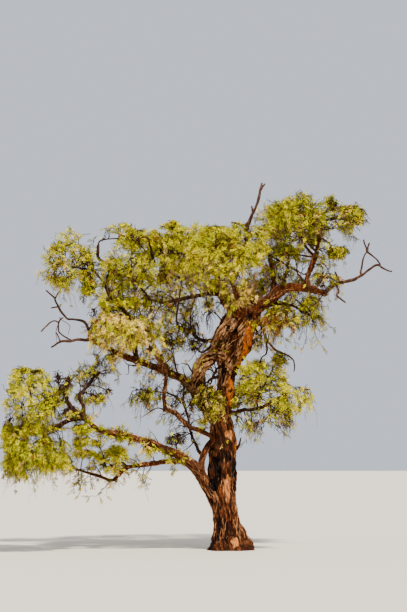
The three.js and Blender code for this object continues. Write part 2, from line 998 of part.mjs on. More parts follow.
// The twigs and sprays of one mass, grown from its stem by its seed. A spray that would leave
// the space, or touch a limb or another spray, is turned round its twig, and skipped when no
// turn is free.
function growMass(mass, seed, stem, sleeves) {
  const random = seeded(seed);
  const space = spaceOf(mass);
  const curve = stemCurve(mass);
  const meanHalf = Math.cbrt(space.half.x * space.half.y * space.half.z);
  const scale = THREE.MathUtils.clamp(meanHalf / FULL_SIZE, SMALLEST_SCALE, LARGEST_SCALE);
  const hang = new THREE.Vector3(0, 0, -mass.hang);
  const growth = space.centre.clone().sub(vector(mass.stem[0])).normalize().add(hang).normalize();
  const grown = [stem];
  const fits = ({ piece, blade, points }, bearer) =>
    points.every((point) => space.holds(point)) &&
    !touches(blade, [bearer]) &&
    !touches(piece, [...sleeves, ...grown.filter((other) => other !== bearer)]);

  for (let index = 0; index < mass.twigs; index++) {
    const turn = random() * 2 * Math.PI;
    const tilt = THREE.MathUtils.lerp(FLATTEST, STEEPEST, random());
    const roll = index % 2 === 0 ? tilt : -tilt;
    const twig = firstThatFits((attempt) => {
      const skin = skinPoint(space, growth, index, mass.twigs, turn + attempt * TURN);
      const start = leavingPoint(curve, skin, space);
      const outward = skin.clone().sub(start).normalize().add(hang).normalize();
      const size = scale * shrinkOf(attempt);
      const end = skin.clone().addScaledVector(outward, -LEAF.length * size);
      const axes = axesAlong(end.clone().sub(start).normalize(), roll);
      const rings = [twigRing(start, axes, TWIG.foot), twigRing(end, axes, TWIG.tip)];
      return { ...makeSpray(rings, end, outward, roll, size), start, end, outward };
    }, (made) => fits(made, stem));
    if (!twig) continue;
    grown.push(twig.piece);
    SPRAY_SHARES.forEach((share, order) => {
      const root = twig.start.clone().lerp(twig.end, share);
      const spray = firstThatFits((attempt) => {
        const angle = (order + attempt) * GOLDEN_ANGLE + turn;
        const { side, face } = axesAlong(twig.outward);
        const direction = twig.outward
          .clone()
          .multiplyScalar(Math.cos(OPENING))
          .addScaledVector(side, Math.sin(OPENING) * Math.cos(angle))
          .addScaledVector(face, Math.sin(OPENING) * Math.sin(angle))
          .addScaledVector(hang, 0.5)
          .normalize();
        const foot = twigRing(root, axesAlong(direction, roll), TWIG.sprayFoot);
        return makeSpray([foot], root, direction, roll, scale * shrinkOf(attempt));
      }, (made) => fits(made, twig.piece));
      if (spray) grown.push(spray.piece);
    });
  }
  return largestBody(grown.reduce((whole, piece) => whole.add(piece)));
}

function geometryOf(made) {
  const { vertProperties, triVerts } = made.getMesh();
  const geometry = new THREE.BufferGeometry();
  geometry.setAttribute("position", new THREE.BufferAttribute(new Float32Array(vertProperties), 3));
  geometry.setIndex(new THREE.BufferAttribute(new Uint32Array(triVerts), 1));
  return geometry;
}

// Corners closer than the merge distance become one, and a sliver that this frees is dropped
function meshOf(name, made, material) {
  const geometry = geometryOf(largestBody(solidOf(geometryOf(made))));
  geometry.computeVertexNormals();
  const mesh = new THREE.Mesh(geometry, material);
  mesh.name = name;
  return mesh;
}

const tree = new THREE.Group();
tree.name = "acacia_tree";

tree.add(meshOf("trunk", makeTrunk(0), bark));

// Each limb is cut clear of those before it, so that its root fits round the limb that carries it
const limbSleeves = [makeTrunk(CLEAR)];
limbs.forEach((limb, index) => {
  const made = cutClear(makeBranched(limb, index, 0), limbSleeves);
  limbSleeves.push(makeBranched(limb, index, CLEAR));
  tree.add(meshOf(limb.name, made, deadLimbs.includes(limb.name) ? deadWood : bark));
});

const stemSleeves = [];
const stems = masses.map((mass) => {
  const stem = cutClear(makeStem(mass, 0), [...limbSleeves, ...stemSleeves]);
  stemSleeves.push(makeStem(mass, CLEAR));
  return stem;
});

masses.forEach((mass, index) => {
  const otherStems = stemSleeves.filter((sleeve, other) => other !== index);
  const made = growMass(mass, index + 1, stems[index], [...limbSleeves, ...otherStems]);
  tree.add(meshOf(mass.name, made, strawMasses.includes(mass.name) ? leafStraw : leafGreen));
});

export default tree;
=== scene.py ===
# %% [markdown]
# # An acacia of the dry savanna
# This lesson dresses the plain model of an old acacia: a leaning, furrowed trunk with a burnt
# hollow, long crooked boughs, dead limbs, and a flat-topped crown of fine feathery leaves.
# The plain model gives every place and size. It holds one smooth solid for each limb and one
# coarse cluster of blades for each mass of leaves. Here the limbs get bark in true relief, and
# the masses grow again by the same rule, down to twiglets and leaves.

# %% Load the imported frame
import math
import zlib
from dataclasses import dataclass, field, replace

import bpy
import numpy as np
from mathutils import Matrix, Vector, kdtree


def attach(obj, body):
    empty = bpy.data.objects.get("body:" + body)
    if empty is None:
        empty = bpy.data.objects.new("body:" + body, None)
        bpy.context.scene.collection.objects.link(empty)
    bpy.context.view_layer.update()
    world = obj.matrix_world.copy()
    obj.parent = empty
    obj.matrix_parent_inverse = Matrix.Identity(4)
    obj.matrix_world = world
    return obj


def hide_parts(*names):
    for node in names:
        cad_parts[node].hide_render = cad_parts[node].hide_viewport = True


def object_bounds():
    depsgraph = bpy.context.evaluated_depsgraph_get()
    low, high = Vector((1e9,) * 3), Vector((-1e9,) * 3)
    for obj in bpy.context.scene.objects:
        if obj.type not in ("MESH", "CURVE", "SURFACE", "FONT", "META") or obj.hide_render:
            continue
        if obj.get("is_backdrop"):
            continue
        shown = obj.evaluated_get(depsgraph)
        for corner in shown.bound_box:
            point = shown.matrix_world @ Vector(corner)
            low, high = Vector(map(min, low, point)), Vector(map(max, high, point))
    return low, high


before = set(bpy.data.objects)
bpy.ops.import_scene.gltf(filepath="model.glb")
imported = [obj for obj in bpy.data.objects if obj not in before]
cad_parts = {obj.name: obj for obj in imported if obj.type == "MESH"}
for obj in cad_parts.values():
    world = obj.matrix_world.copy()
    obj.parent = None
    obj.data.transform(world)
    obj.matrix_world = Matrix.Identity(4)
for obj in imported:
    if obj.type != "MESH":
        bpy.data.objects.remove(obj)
cad_low, cad_high = (np.array(corner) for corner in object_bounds())
print("the plain model spans", [round(size, 2) for size in cad_high - cad_low], "metres")

# %% [markdown]
# ## Camera, floor and light
# A big tree is looked at from far off with a long lens, so its boughs aren't stretched. The
# camera stands at eye height, which puts the horizon a quarter of the way up the tree.
# The floor is plain and pale. One broad, high lamp gives the midday direction, and a bright even
# surround keeps the shaded side readable.

# %% Camera
EYE_HEIGHT = 1.7
CAMERA_SIDE = -0.485
CAMERA_AWAY = 27.8
LENS = 85  # millimetres
CAMERA_TILT = 6.08  # degrees above level

camera_data = bpy.data.cameras.new("camera")
camera_data.lens = LENS
camera = bpy.data.objects.new("camera", camera_data)
camera.location = (CAMERA_SIDE, -CAMERA_AWAY, EYE_HEIGHT)
camera.rotation_euler = (math.radians(90 + CAMERA_TILT), 0, 0)
bpy.context.collection.objects.link(camera)
bpy.context.scene.camera = camera
print("the camera stands", CAMERA_AWAY, "metres off")


# %% Colours as the eye names them
def tone(red, green, blue):
    """A colour of 0 to 255 steps, as the light that a shader needs."""
    steps = np.array([red, green, blue]) / 255
    light = np.where(steps <= 0.04045, steps / 12.92, ((steps + 0.055) / 1.055) ** 2.4)
    return (*light, 1)


print("mid grey gives", round(float(tone(128, 128, 128)[0]), 2), "of full light")

# %% Floor and light
FLOOR_SIZE = 400
SUN_HEIGHT = 58  # degrees above the floor
SUN_SIDE = 24  # degrees to the right of the camera
SUN_STRENGTH = 6.5
SUN_BREADTH = 5  # degrees, so that shadows have soft edges
SUN_COLOUR = (1.0, 0.95, 0.88)

bpy.ops.mesh.primitive_plane_add(size=FLOOR_SIZE)
floor = bpy.context.object
floor.name = "floor"
floor_paint = bpy.data.materials.new("pale floor")
floor_paint.use_nodes = True
floor_look = floor_paint.node_tree.nodes["Principled BSDF"].inputs
floor_look["Base Color"].default_value = tone(226, 214, 196)
floor_look["Roughness"].default_value = 0.95
floor.data.materials.append(floor_paint)
floor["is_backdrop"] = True

sun_data = bpy.data.lights.new("sun", "SUN")
sun_data.energy = SUN_STRENGTH
sun_data.angle = math.radians(SUN_BREADTH)
sun_data.color = SUN_COLOUR
sun = bpy.data.objects.new("sun", sun_data)
sun.rotation_euler = (math.radians(90 - SUN_HEIGHT), 0, math.radians(SUN_SIDE))
bpy.context.collection.objects.link(sun)

surround = bpy.data.worlds.new("surround")
bpy.context.scene.world = surround
surround.use_nodes = True
surround_look = surround.node_tree.nodes["Background"].inputs
surround_look["Color"].default_value = tone(222, 229, 242)
surround_look["Strength"].default_value = 1.0
print("floor, sun and surround are set")

# %% [markdown]
# ## Curves and noise
# Three small tools carry the whole tree. A smooth curve runs through a few chosen points, as in
# the plain model. A moving set of axes follows the curve without twisting, so that a ring of
# corners can be swept along it. And a noise gives every point in space a repeatable value: it is
# written out here because the bark's relief has to move real vertices, not only shade them.

# %% Smooth ways and their axes
FINE_STEPS = 24  # samples between two points of a way
LENGTH_SAMPLES = 80
UP = np.array([0.05, 0.03, 1.0]) / math.hypot(0.05, 0.03, 1)
DOWN = np.array([0.0, 0.0, -1.0])


def unit(vectors):
    """The same directions, each one unit long."""
    return vectors / np.maximum(np.linalg.norm(vectors, axis=-1, keepdims=True), 1e-12)


def smooth_way(way, count):
    """Evenly spaced points on the smooth curve through the points of a way."""
    way = np.asarray(way, float)
    padded = np.vstack([2 * way[0] - way[1], way, 2 * way[-1] - way[-2]])
    part = np.linspace(0, 1, FINE_STEPS, endpoint=False)[:, None]
    stretches = []
    for before, here, after, beyond in zip(padded, padded[1:], padded[2:], padded[3:]):
        leave = (after - before) / 2
        arrive = (beyond - here) / 2
        square = 3 * (after - here) - 2 * leave - arrive
        cube = 2 * (here - after) + leave + arrive
        stretches.append(here + leave * part + square * part**2 + cube * part**3)
    fine = np.vstack([*stretches, way[-1:]])
    travelled = np.append(0, np.cumsum(np.linalg.norm(np.diff(fine, axis=0), axis=1)))
    wanted = np.linspace(0, travelled[-1], count)
    return np.stack([np.interp(wanted, travelled, fine[:, axis]) for axis in range(3)], 1)


def length_of(way):
    """How long the smooth curve through the points of a way is."""
    points = smooth_way(way, LENGTH_SAMPLES)
    return float(np.linalg.norm(np.diff(points, axis=0), axis=1).sum())


def axes_along(points):
    """The direction at each point, and two directions across it that don't twist."""
    ahead = unit(np.gradient(points, axis=0))
    side = np.cross(UP, ahead[0])
    if np.linalg.norm(side) < 0.2:
        side = np.cross((1.0, 0.0, 0.0), ahead[0])
    sides = []
    for direction in ahead:
        side = side - direction * (side @ direction)
        side = side / np.linalg.norm(side)
        sides.append(side)
    sides = np.array(sides)
    return ahead, sides, np.cross(ahead, sides)


print("a way from (0, 0, 0) to (0, 3, 4) is", round(length_of([(0, 0, 0), (0, 3, 4)]), 2), "long")

# %% Noise in space
SEEDS = {  # one for each use of the noise, so that no two follow the same lumps
    "ropes": 3, "lumps": 8, "openings": 12, "coarse furrows": 21, "fine furrows": 34, "strips": 44,
    "scars": 55, "fibres": 66, "skins": 77, "gaps": 91,
}
KINK_SEEDS = (61, 62, 63)


def cell_value(cells, seed):
    """A repeatable number from 0 to 1 for each whole-numbered cell."""
    x, y, z = (cells[..., axis].astype(np.int64) for axis in range(3))
    mixed = (x * 374761393 + y * 668265263 + z * 1440662683 + seed * 974634777) & 0xFFFFFFFF
    mixed = ((mixed ^ (mixed >> 13)) * 1274126177) & 0xFFFFFFFF
    return ((mixed ^ (mixed >> 16)) & 0xFFFFFF) / 0xFFFFFF


def noise(points, seed=0):
    """Smooth noise from 0 to 1, with lumps one unit across."""
    base = np.floor(points)
    part = points - base
    part = part * part * (3 - 2 * part)
    total = np.zeros(len(points))
    for corner in np.ndindex(2, 2, 2):
        weight = np.prod(np.where(corner, part, 1 - part), axis=1)
        total += weight * cell_value(base + corner, seed)
    return total


def rough_noise(points, seed=0, layers=3):
    """Noise with finer and weaker noise laid over it, still from 0 to 1."""
    total = sum(noise(points * 2**layer, seed + layer) / 2**layer for layer in range(layers))
    return total / sum(1 / 2**layer for layer in range(layers))


some_noise = rough_noise(np.random.default_rng(1).random((500, 3)) * 9)
print("noise runs from", round(some_noise.min(), 2), "to", round(some_noise.max(), 2))

# %% [markdown]
# ## Meshes from arrays
# A tree has hundreds of thousands of small faces. Adding them one by one is slow, so all corners
# and faces of a piece are worked out as arrays first and handed to Blender in one go.

# %% A piece from arrays
def piece_from(name, corners, faces, material):
    """A mesh object from corner places and lists of faces, each list with its own corner count."""
    faces = [np.asarray(group) for group in faces if len(group)]
    counts = np.concatenate([np.full(len(group), group.shape[1]) for group in faces])
    mesh = bpy.data.meshes.new(name)
    mesh.vertices.add(len(corners))
    mesh.vertices.foreach_set("co", np.asarray(corners, np.float32).ravel())
    mesh.loops.add(int(counts.sum()))
    mesh.loops.foreach_set("vertex_index", np.concatenate([g.ravel() for g in faces]).astype(np.int32))
    mesh.polygons.add(len(counts))
    starts = np.append(0, np.cumsum(counts)[:-1]).astype(np.int32)
    mesh.polygons.foreach_set("loop_start", starts)
    mesh.update(calc_edges=True)
    mesh.materials.append(material)
    piece = bpy.data.objects.new(name, mesh)
    bpy.context.collection.objects.link(piece)
    return piece


def only(piece):
    """Selects one object alone and makes it the active one, ready for an operator."""
    bpy.ops.object.select_all(action="DESELECT")
    piece.select_set(True)
    bpy.context.view_layer.objects.active = piece


def triangles_in(piece):
    """How many triangles a piece has."""
    piece.data.calc_loop_triangles()
    return len(piece.data.loop_triangles)


def joined(parts):
    """Several (corners, faces) as one, with the face numbers moved on."""
    corners, faces, start = [], [], 0
    for part_corners, part_faces in parts:
        corners.append(part_corners)
        faces.extend(group + start for group in part_faces)
        start += len(part_corners)
    return np.concatenate(corners), faces


def sweep(points, rings, sides):
    """A closed tube with given rings of corners round the points of a way."""
    count = len(points)
    corners = np.concatenate([rings.reshape(-1, 3), points[:1], points[-1:]])
    step = np.arange(count - 1)[:, None] * sides
    side = np.arange(sides)[None, :]
    onward = (side + 1) % sides
    walls = np.stack([step + side, step + onward, step + sides + onward, step + sides + side], -1)
    last = (count - 1) * sides
    around = np.arange(sides)
    ahead = (around + 1) % sides
    foot = np.stack([ahead, around, np.full(sides, count * sides)], 1)
    tip = np.stack([last + around, last + ahead, np.full(sides, count * sides + 1)], 1)
    return corners, [walls.reshape(-1, 4), foot, tip]


def swept_limb(points, sides, half_width):
    """A tube whose half width is worked out for every corner from its way and direction."""
    ahead, side, face = axes_along(points)
    angle = np.linspace(0, 2 * math.pi, sides, endpoint=False)
    outward = side[:, None] * np.cos(angle)[None, :, None] + face[:, None] * np.sin(angle)[None, :, None]
    share = np.linspace(0, 1, len(points))[:, None]
    width = half_width(share, outward, points[:, None, :])
    return sweep(points, points[:, None] + outward * width[..., None], sides)


print("limbs can be swept into tubes")

# %% Many thin tubes at once
def across_ways(ways):
    """Directions ahead, to the side and up for every point of many curves."""
    ahead = unit(np.gradient(ways, axis=1))
    whole = np.abs(unit(ways[:, -1] - ways[:, 0]))
    guide = np.eye(3)[whole.argmin(1)][:, None, :]
    side = unit(np.cross(np.broadcast_to(guide, ahead.shape), ahead))
    return ahead, side, np.cross(ahead, side)


def tubes_along(ways, foot, tip, sides):
    """Closed pointed tubes along many curves, as corners and faces."""
    number, count, _ = ways.shape
    _, side, face = across_ways(ways)
    angle = np.linspace(0, 2 * math.pi, sides, endpoint=False)
    outward = side[:, :, None] * np.cos(angle)[:, None] + face[:, :, None] * np.sin(angle)[:, None]
    width = np.linspace(foot, tip, count)
    rings = (ways[:, :, None] + outward * width[None, :, None, None])[:, :-1]
    corners = np.concatenate([rings.reshape(number, (count - 1) * sides, 3), ways[:, -1:]], 1)
    start = np.arange(number)[:, None, None] * corners.shape[1]
    ring = np.arange(count - 2)[:, None] * sides
    around = np.arange(sides)
    onward = (around + 1) % sides
    walls = np.stack([ring + around, ring + onward, ring + sides + onward, ring + sides + around], -1)
    last = (count - 2) * sides
    tip_faces = np.stack([last + around, last + onward, np.full(sides, last + sides)], -1)
    faces = [
        (start + walls.reshape(1, -1, 4)).reshape(-1, 4),
        (start + tip_faces[None]).reshape(-1, 3),
        (start[:, 0] + around[::-1][None]).reshape(-1, sides),
    ]
    return corners.reshape(-1, 3), faces


print("arrays are ready to become meshes")

# %% [markdown]
# ## The wood
# The trunk leans, twists and flares into toes at the ground. Each limb is one tapering way with
# a swollen collar at its foot, and dead limbs carry a few prongs. The ways are those of the plain
# model, in metres, so each limb stays where its plain solid is. So are the half widths, only the
# black limb and the dead ones are up to a centimetre thicker.

# %% The trunk's sizes
BELOW_GROUND = 0.16
TRUNK_WAY = [
    (0.01, 0, -BELOW_GROUND), (-0.05, 0, 0.52), (-0.08, -0.01, 0.94), (-0.12, -0.03, 1.41),
    (-0.11, -0.04, 1.98), (-0.14, -0.02, 2.56), (-0.07, 0, 2.98), (-0.02, 0.03, 3.42),
    (0.165, 0.045, 3.99), (0.34, 0.05, 4.35), (0.42, 0.05, 4.56),
]
TRUNK_HEIGHTS = [0, 0.25, 0.5, 1.0, 1.4, 2.1, 2.7, 3.25, 3.6, 3.95, 4.3, 4.56]
TRUNK_HALF_WIDTHS = [0.355, 0.31, 0.262, 0.215, 0.245, 0.238, 0.19, 0.166, 0.232, 0.3, 0.235, 0.165]
TOE_SIDES = [-8, 74, 128, 186, 238, 304]  # degrees round the trunk
TOE_REACHES = [0.12, 0.11, 0.07, 0.095, 0.08, 0.09]
TOE_HEIGHT = 0.17
TOE_SHARPNESS = 7
BROAD_FLUTES = 0.07  # of the half width
FINE_FLUTES = 0.045


def smooth_steps(value, places, heights):
    """The value between rows, with no corner at a row."""
    places = np.asarray(places)
    heights = np.asarray(heights)
    above = np.clip(np.searchsorted(places, value), 1, len(places) - 1)
    part = np.clip((value - places[above - 1]) / (places[above] - places[above - 1]), 0, 1)
    part = part * part * (3 - 2 * part)
    return heights[above - 1] + (heights[above] - heights[above - 1]) * part


def trunk_half_width(share, outward, middle):
    """Fluted all the way up, with toes that spread at the ground."""
    angle = np.arctan2(outward[..., 1], outward[..., 0])
    height = np.maximum(middle[..., 2], 0)
    broad = BROAD_FLUTES * np.cos(3 * angle + 0.6 + height / 0.9)
    fine = FINE_FLUTES * np.cos(5 * angle - height / 0.65)
    toes = sum(
        reach * np.maximum(0, np.cos(angle - math.radians(toe))) ** TOE_SHARPNESS
        for toe, reach in zip(TOE_SIDES, TOE_REACHES)
    )
    girth = smooth_steps(height, TRUNK_HEIGHTS, TRUNK_HALF_WIDTHS)
    return girth * (1 + broad + fine) + np.exp(-height / TOE_HEIGHT) * toes


print(len(TOE_SIDES), "toes spread at the trunk's foot")

# %% The limbs' ways
@dataclass
class Limb:
    """A limb: its half widths at the foot and the tip, its way, and the ways of its prongs."""
    foot: float
    tip: float
    way: list
    prongs: list = field(default_factory=list)


LIMBS = {
    "left_stem": Limb(0.128, 0.104, [
        (-0.04, -0.03, 0.3), (-0.17, -0.06, 0.64), (-0.29, -0.11, 0.94), (-0.49, -0.17, 1.32),
        (-0.64, -0.22, 1.61),
    ]),
    "long_left_bough": Limb(0.092, 0.038, [
        (-0.57, -0.2, 1.5), (-0.87, -0.3, 1.75), (-1.21, -0.42, 1.9), (-1.49, -0.52, 2.01),
        (-2.05, -0.68, 2.18), (-2.42, -0.76, 2.25), (-2.64, -0.8, 2.42), (-2.84, -0.82, 2.53),
    ]),
    "low_left_bough": Limb(0.054, 0.026, [
        (-0.62, -0.205, 1.52), (-0.97, -0.06, 1.68), (-1.51, 0.15, 1.62), (-1.98, 0.3, 1.54),
        (-2.24, 0.36, 1.31), (-2.49, 0.4, 1.38), (-2.96, 0.45, 1.52),
    ]),
    "cross_stem": Limb(0.066, 0.06, [
        (-0.55, -0.19, 1.56), (-0.48, -0.19, 1.79), (-0.38, -0.14, 1.98), (-0.18, -0.06, 2.19),
    ]),
    "crooked_bough": Limb(0.054, 0.042, [
        (-0.24, -0.06, 2.12), (-0.55, -0.26, 2.25), (-0.78, -0.36, 2.34), (-1, -0.46, 2.56),
        (-1.23, -0.52, 2.65),
    ]),
    "crooked_prop": Limb(0.042, 0.026, [
        (-1.2, -0.515, 2.6), (-1.23, -0.51, 2.92), (-1.2, -0.44, 3.3), (-1.31, -0.4, 3.55),
        (-1.47, -0.36, 3.78),
    ]),
    "inner_limb": Limb(0.034, 0.018, [
        (-0.49, -0.185, 1.73), (-0.65, -0.06, 2), (-0.74, 0.06, 2.27), (-0.8, 0.16, 2.56),
        (-0.9, 0.26, 2.83), (-1.2, 0.33, 3.01),
    ]),
    "left_arm": Limb(0.098, 0.038, [
        (-0.15, 0.01, 2.26), (-0.49, 0.14, 2.72), (-0.82, 0.24, 3.2), (-1.23, 0.26, 3.41),
        (-1.64, 0.22, 3.57), (-1.97, 0.16, 3.68), (-2.33, 0.08, 3.85), (-2.72, 0.02, 4.04),
    ]),
    "twisted_limb": Limb(0.112, 0.138, [
        (-0.02, 0, 3.7), (-0.245, -0.08, 3.69), (-0.42, -0.16, 3.59), (-0.56, -0.13, 3.44),
        (-0.595, 0, 3.27), (-0.575, 0.16, 3.08),
    ]),
    "dead_left_low": Limb(0.034, 0.018, [
        (-2.68, 0.02, 4.02), (-3.02, -0.08, 3.98), (-3.24, -0.16, 3.95), (-3.42, -0.2, 3.85),
    ], prongs=[
        [(-3.02, -0.08, 3.98), (-3.22, -0.13, 4.14), (-3.28, -0.15, 4.34), (-3.18, -0.16, 4.42)],
        [(-3.24, -0.16, 3.95), (-3.3, -0.18, 4.14)],
        [(-3.28, -0.15, 4.34), (-3.42, -0.15, 4.35), (-3.59, -0.15, 4.13)],
    ]),
    "dead_left_high": Limb(0.034, 0.017, [
        (-2.68, 0.025, 4.03), (-2.74, 0.06, 4.28), (-2.88, 0.1, 4.39), (-3.16, 0.14, 4.48),
        (-3.3, 0.17, 4.66), (-3.38, 0.18, 4.84), (-3.56, 0.19, 4.98),
    ], prongs=[
        [(-3.38, 0.18, 4.84), (-3.28, 0.16, 5.01)],
        [(-3.3, 0.17, 4.66), (-3.46, 0.18, 4.62)],
    ]),
    "black_limb": Limb(0.055, 0.028, [
        (-1.74, 0.21, 3.61), (-1.9, 0.35, 4.03), (-2.01, 0.42, 4.59), (-2.28, 0.44, 4.83),
        (-2.4, 0.45, 5.11), (-2.36, 0.46, 5.5), (-2.55, 0.45, 5.69), (-2.57, 0.43, 5.92),
    ]),
    "left_fork_bough": Limb(0.112, 0.072, [
        (0.33, 0.02, 4.36), (0.14, -0.08, 4.52), (-0.05, -0.18, 4.7), (-0.17, -0.26, 4.9),
    ]),
    "left_reach": Limb(0.052, 0.026, [
        (-0.12, -0.24, 4.85), (-0.42, -0.36, 4.85), (-0.84, -0.5, 4.74), (-1.21, -0.6, 4.67),
        (-1.5, -0.68, 4.7),
    ]),
    "upright_left": Limb(0.042, 0.026, [
        (-0.16, -0.255, 4.86), (-0.19, -0.3, 5.2), (-0.32, -0.33, 5.4), (-0.4, -0.36, 5.63),
    ]),
    "upright_centre": Limb(0.05, 0.032, [
        (-0.14, -0.25, 4.86), (-0.05, -0.22, 5.04), (0.08, -0.16, 5.25), (0.2, -0.12, 5.43),
    ]),
    "dead_spike": Limb(0.048, 0.022, [
        (0.18, -0.125, 5.39), (0.32, -0.06, 5.84), (0.38, 0, 6.25), (0.5, 0.02, 6.49),
        (0.56, 0.03, 6.69), (0.64, 0.04, 6.93), (0.66, 0.04, 7.08),
    ], prongs=[
        [(0.64, 0.04, 6.93), (0.74, 0.03, 7.09)],
        [(0.4, 0, 6.27), (0.27, -0.03, 6.23), (0.06, -0.06, 6.29)],
        [(0.5, 0.02, 6.47), (0.44, 0.02, 6.61)],
    ]),
    "middle_left_limb": Limb(0.056, 0.028, [
        (0.12, 0.03, 3.94), (-0.32, -0.12, 3.95), (-0.57, -0.22, 4.02), (-0.74, -0.3, 4.17),
        (-0.97, -0.38, 4.22),
    ]),
    "right_fork_bough": Limb(0.128, 0.054, [
        (0.39, 0.05, 4.44), (0.57, 0.03, 4.63), (0.84, -0.04, 4.81), (1.07, -0.12, 4.98),
        (1.37, -0.2, 5), (1.64, -0.26, 4.94), (1.88, -0.3, 4.86),
    ]),
    "upright_right": Limb(0.062, 0.034, [
        (0.84, -0.04, 4.8), (0.88, 0.04, 5.17), (0.83, 0.12, 5.54), (0.76, 0.17, 5.74),
    ]),
    "dead_right_limb": Limb(0.044, 0.018, [
        (1.83, -0.295, 4.87), (2.05, -0.38, 5.03), (2.31, -0.46, 5.1), (2.53, -0.52, 5.18),
        (2.77, -0.6, 5.36), (2.92, -0.64, 5.32), (3.08, -0.68, 5.25),
    ], prongs=[
        [(2.53, -0.52, 5.18), (2.52, -0.5, 5.43), (2.62, -0.49, 5.65), (2.58, -0.48, 5.88)],
        [(2.62, -0.49, 5.65), (2.69, -0.49, 5.82)],
        [(2.62, -0.49, 5.65), (2.8, -0.52, 5.51), (2.88, -0.54, 5.39)],
        [(2.17, -0.42, 5.07), (2.07, -0.42, 5.18), (2.02, -0.43, 5.29)],
        [(2.05, -0.38, 5.03), (2.1, -0.4, 4.9), (2.06, -0.4, 4.82), (2.23, -0.42, 4.68)],
    ]),
    "right_top_limb": Limb(0.062, 0.036, [
        (1.52, -0.24, 4.96), (1.51, -0.22, 5.18), (1.67, -0.16, 5.6), (1.73, -0.12, 5.89),
        (1.8, -0.08, 6.25),
    ]),
    "right_mid_limb": Limb(0.036, 0.02, [
        (0.54, 0.04, 4.56), (0.88, 0.08, 4.71), (1.18, 0.16, 4.7), (1.46, 0.24, 4.55),
        (1.67, 0.3, 4.44),
    ]),
    "right_low_limb": Limb(0.046, 0.022, [
        (0.34, 0.02, 4.3), (0.69, -0.26, 4.27), (0.91, -0.44, 4.19), (1.1, -0.56, 4.32),
    ]),
    "low_right_bough": Limb(0.048, 0.018, [
        (-0.11, -0.02, 2.62), (0.27, -0.26, 2.63), (0.58, -0.44, 2.68), (0.86, -0.56, 2.82),
        (1.03, -0.64, 2.93),
    ]),
    "back_bough_left": Limb(0.058, 0.03, [
        (-1.14, 0.25, 3.37), (-1.26, 0.52, 3.59), (-1.39, 0.8, 3.83), (-1.61, 1.3, 4.21),
    ]),
    "back_bough_centre": Limb(0.084, 0.038, [
        (0.3, 0.06, 4.23), (0.18, 0.3, 4.58), (0.06, 0.62, 4.87), (-0.19, 1.2, 5.28),
    ]),
    "back_bough_right": Limb(0.056, 0.03, [
        (1.03, -0.1, 4.95), (1.05, 0.18, 5.07), (1.1, 0.52, 5.23), (1.22, 1.1, 5.51),
    ]),
    "front_bough": Limb(0.072, 0.03, [
        (0.3, 0.02, 4.28), (0.27, -0.28, 4.52), (0.2, -0.62, 4.68), (0.04, -1.2, 4.94),
    ]),
}
DEAD_LIMBS = ["dead_left_low", "dead_left_high", "dead_spike", "dead_right_limb"]
SLENDER_LIMBS = [
    "inner_limb", "right_mid_limb", "low_right_bough", "black_limb", "middle_left_limb", "left_reach",
]
HEAVY_LIMBS = [name for name in LIMBS if name not in DEAD_LIMBS + SLENDER_LIMBS]
print(len(HEAVY_LIMBS), "heavy,", len(SLENDER_LIMBS), "slender and", len(DEAD_LIMBS), "dead limbs")

# %% [markdown]
# ## Bark in true relief
# Old acacia bark is corky and deeply furrowed along the limb. The trunk is also ropy, because
# strips of living wood have grown round dead ones. A bump map would leave the outline smooth, so
# the relief is made of geometry: the blanks of the trunk and of the heavy limbs are fused with a
# voxel remesh, which also closes the forks, and then every vertex moves in or out by a noise that
# is stretched along its own limb.

# %% How thick a limb is
TAPER = 0.85
COLLAR_SWELL = 0.3
COLLAR_LENGTH = 1.6  # in half widths of the foot
KNOT_SIZE = 0.08
KNOTS = 11
HOLLOW_SIZE = 0.06
PRONG_FOOT = 0.5  # of the half width of its limb's foot
PRONG_TIP = 0.8  # of the half width of its limb's tip


def limb_half_width(foot, tip, length, phase):
    """Evenly thinner from a swollen collar to the tip, with knots and hollows by its phase."""
    def half_width(share, outward, middle):
        even = tip + (foot - tip) * (1 - share) ** TAPER
        collar = 1 + COLLAR_SWELL * np.exp(-share * length / (COLLAR_LENGTH * foot))
        knots = KNOT_SIZE * np.sin(share * length * KNOTS + phase)
        hollows = HOLLOW_SIZE * np.sin(4 * outward[..., 2] + 2 * phase)
        return even * collar * (1 + knots + hollows)
    return half_width


@dataclass
class Stretch:
    """One way with its half width: a limb, or a prong of a dead limb."""
    way: list
    foot: float
    tip: float
    phase: int


def stretches_of(name):
    """The limb itself, and then its prongs."""
    limb = LIMBS[name]
    phase = list(LIMBS).index(name)
    prongs = [
        Stretch(way, limb.foot * PRONG_FOOT, limb.tip * PRONG_TIP, phase + number)
        for number, way in enumerate(limb.prongs)
    ]
    return [Stretch(limb.way, limb.foot, limb.tip, phase), *prongs]


print("dead limbs have", sum(len(LIMBS[name].prongs) for name in DEAD_LIMBS), "prongs")

# %% Blanks and spines
SPINE_SPACING = 0.02
SPINE_APART = 11.3  # added to the distance along each next limb, so that no two have the same bark


def blank_of(stretch, sides, spacing):
    """A smooth limb or prong, ready to be fused or carved."""
    length = length_of(stretch.way)
    points = smooth_way(stretch.way, max(6, round(length / spacing)))
    half_width = limb_half_width(stretch.foot, stretch.tip, length, stretch.phase)
    return swept_limb(points, sides, half_width)


@dataclass
class Spine:
    """Samples down the middle of limbs, which tell any vertex how it lies on its own limb."""
    points: np.ndarray
    ahead: np.ndarray
    side: np.ndarray
    face: np.ndarray
    travelled: np.ndarray
    width: np.ndarray


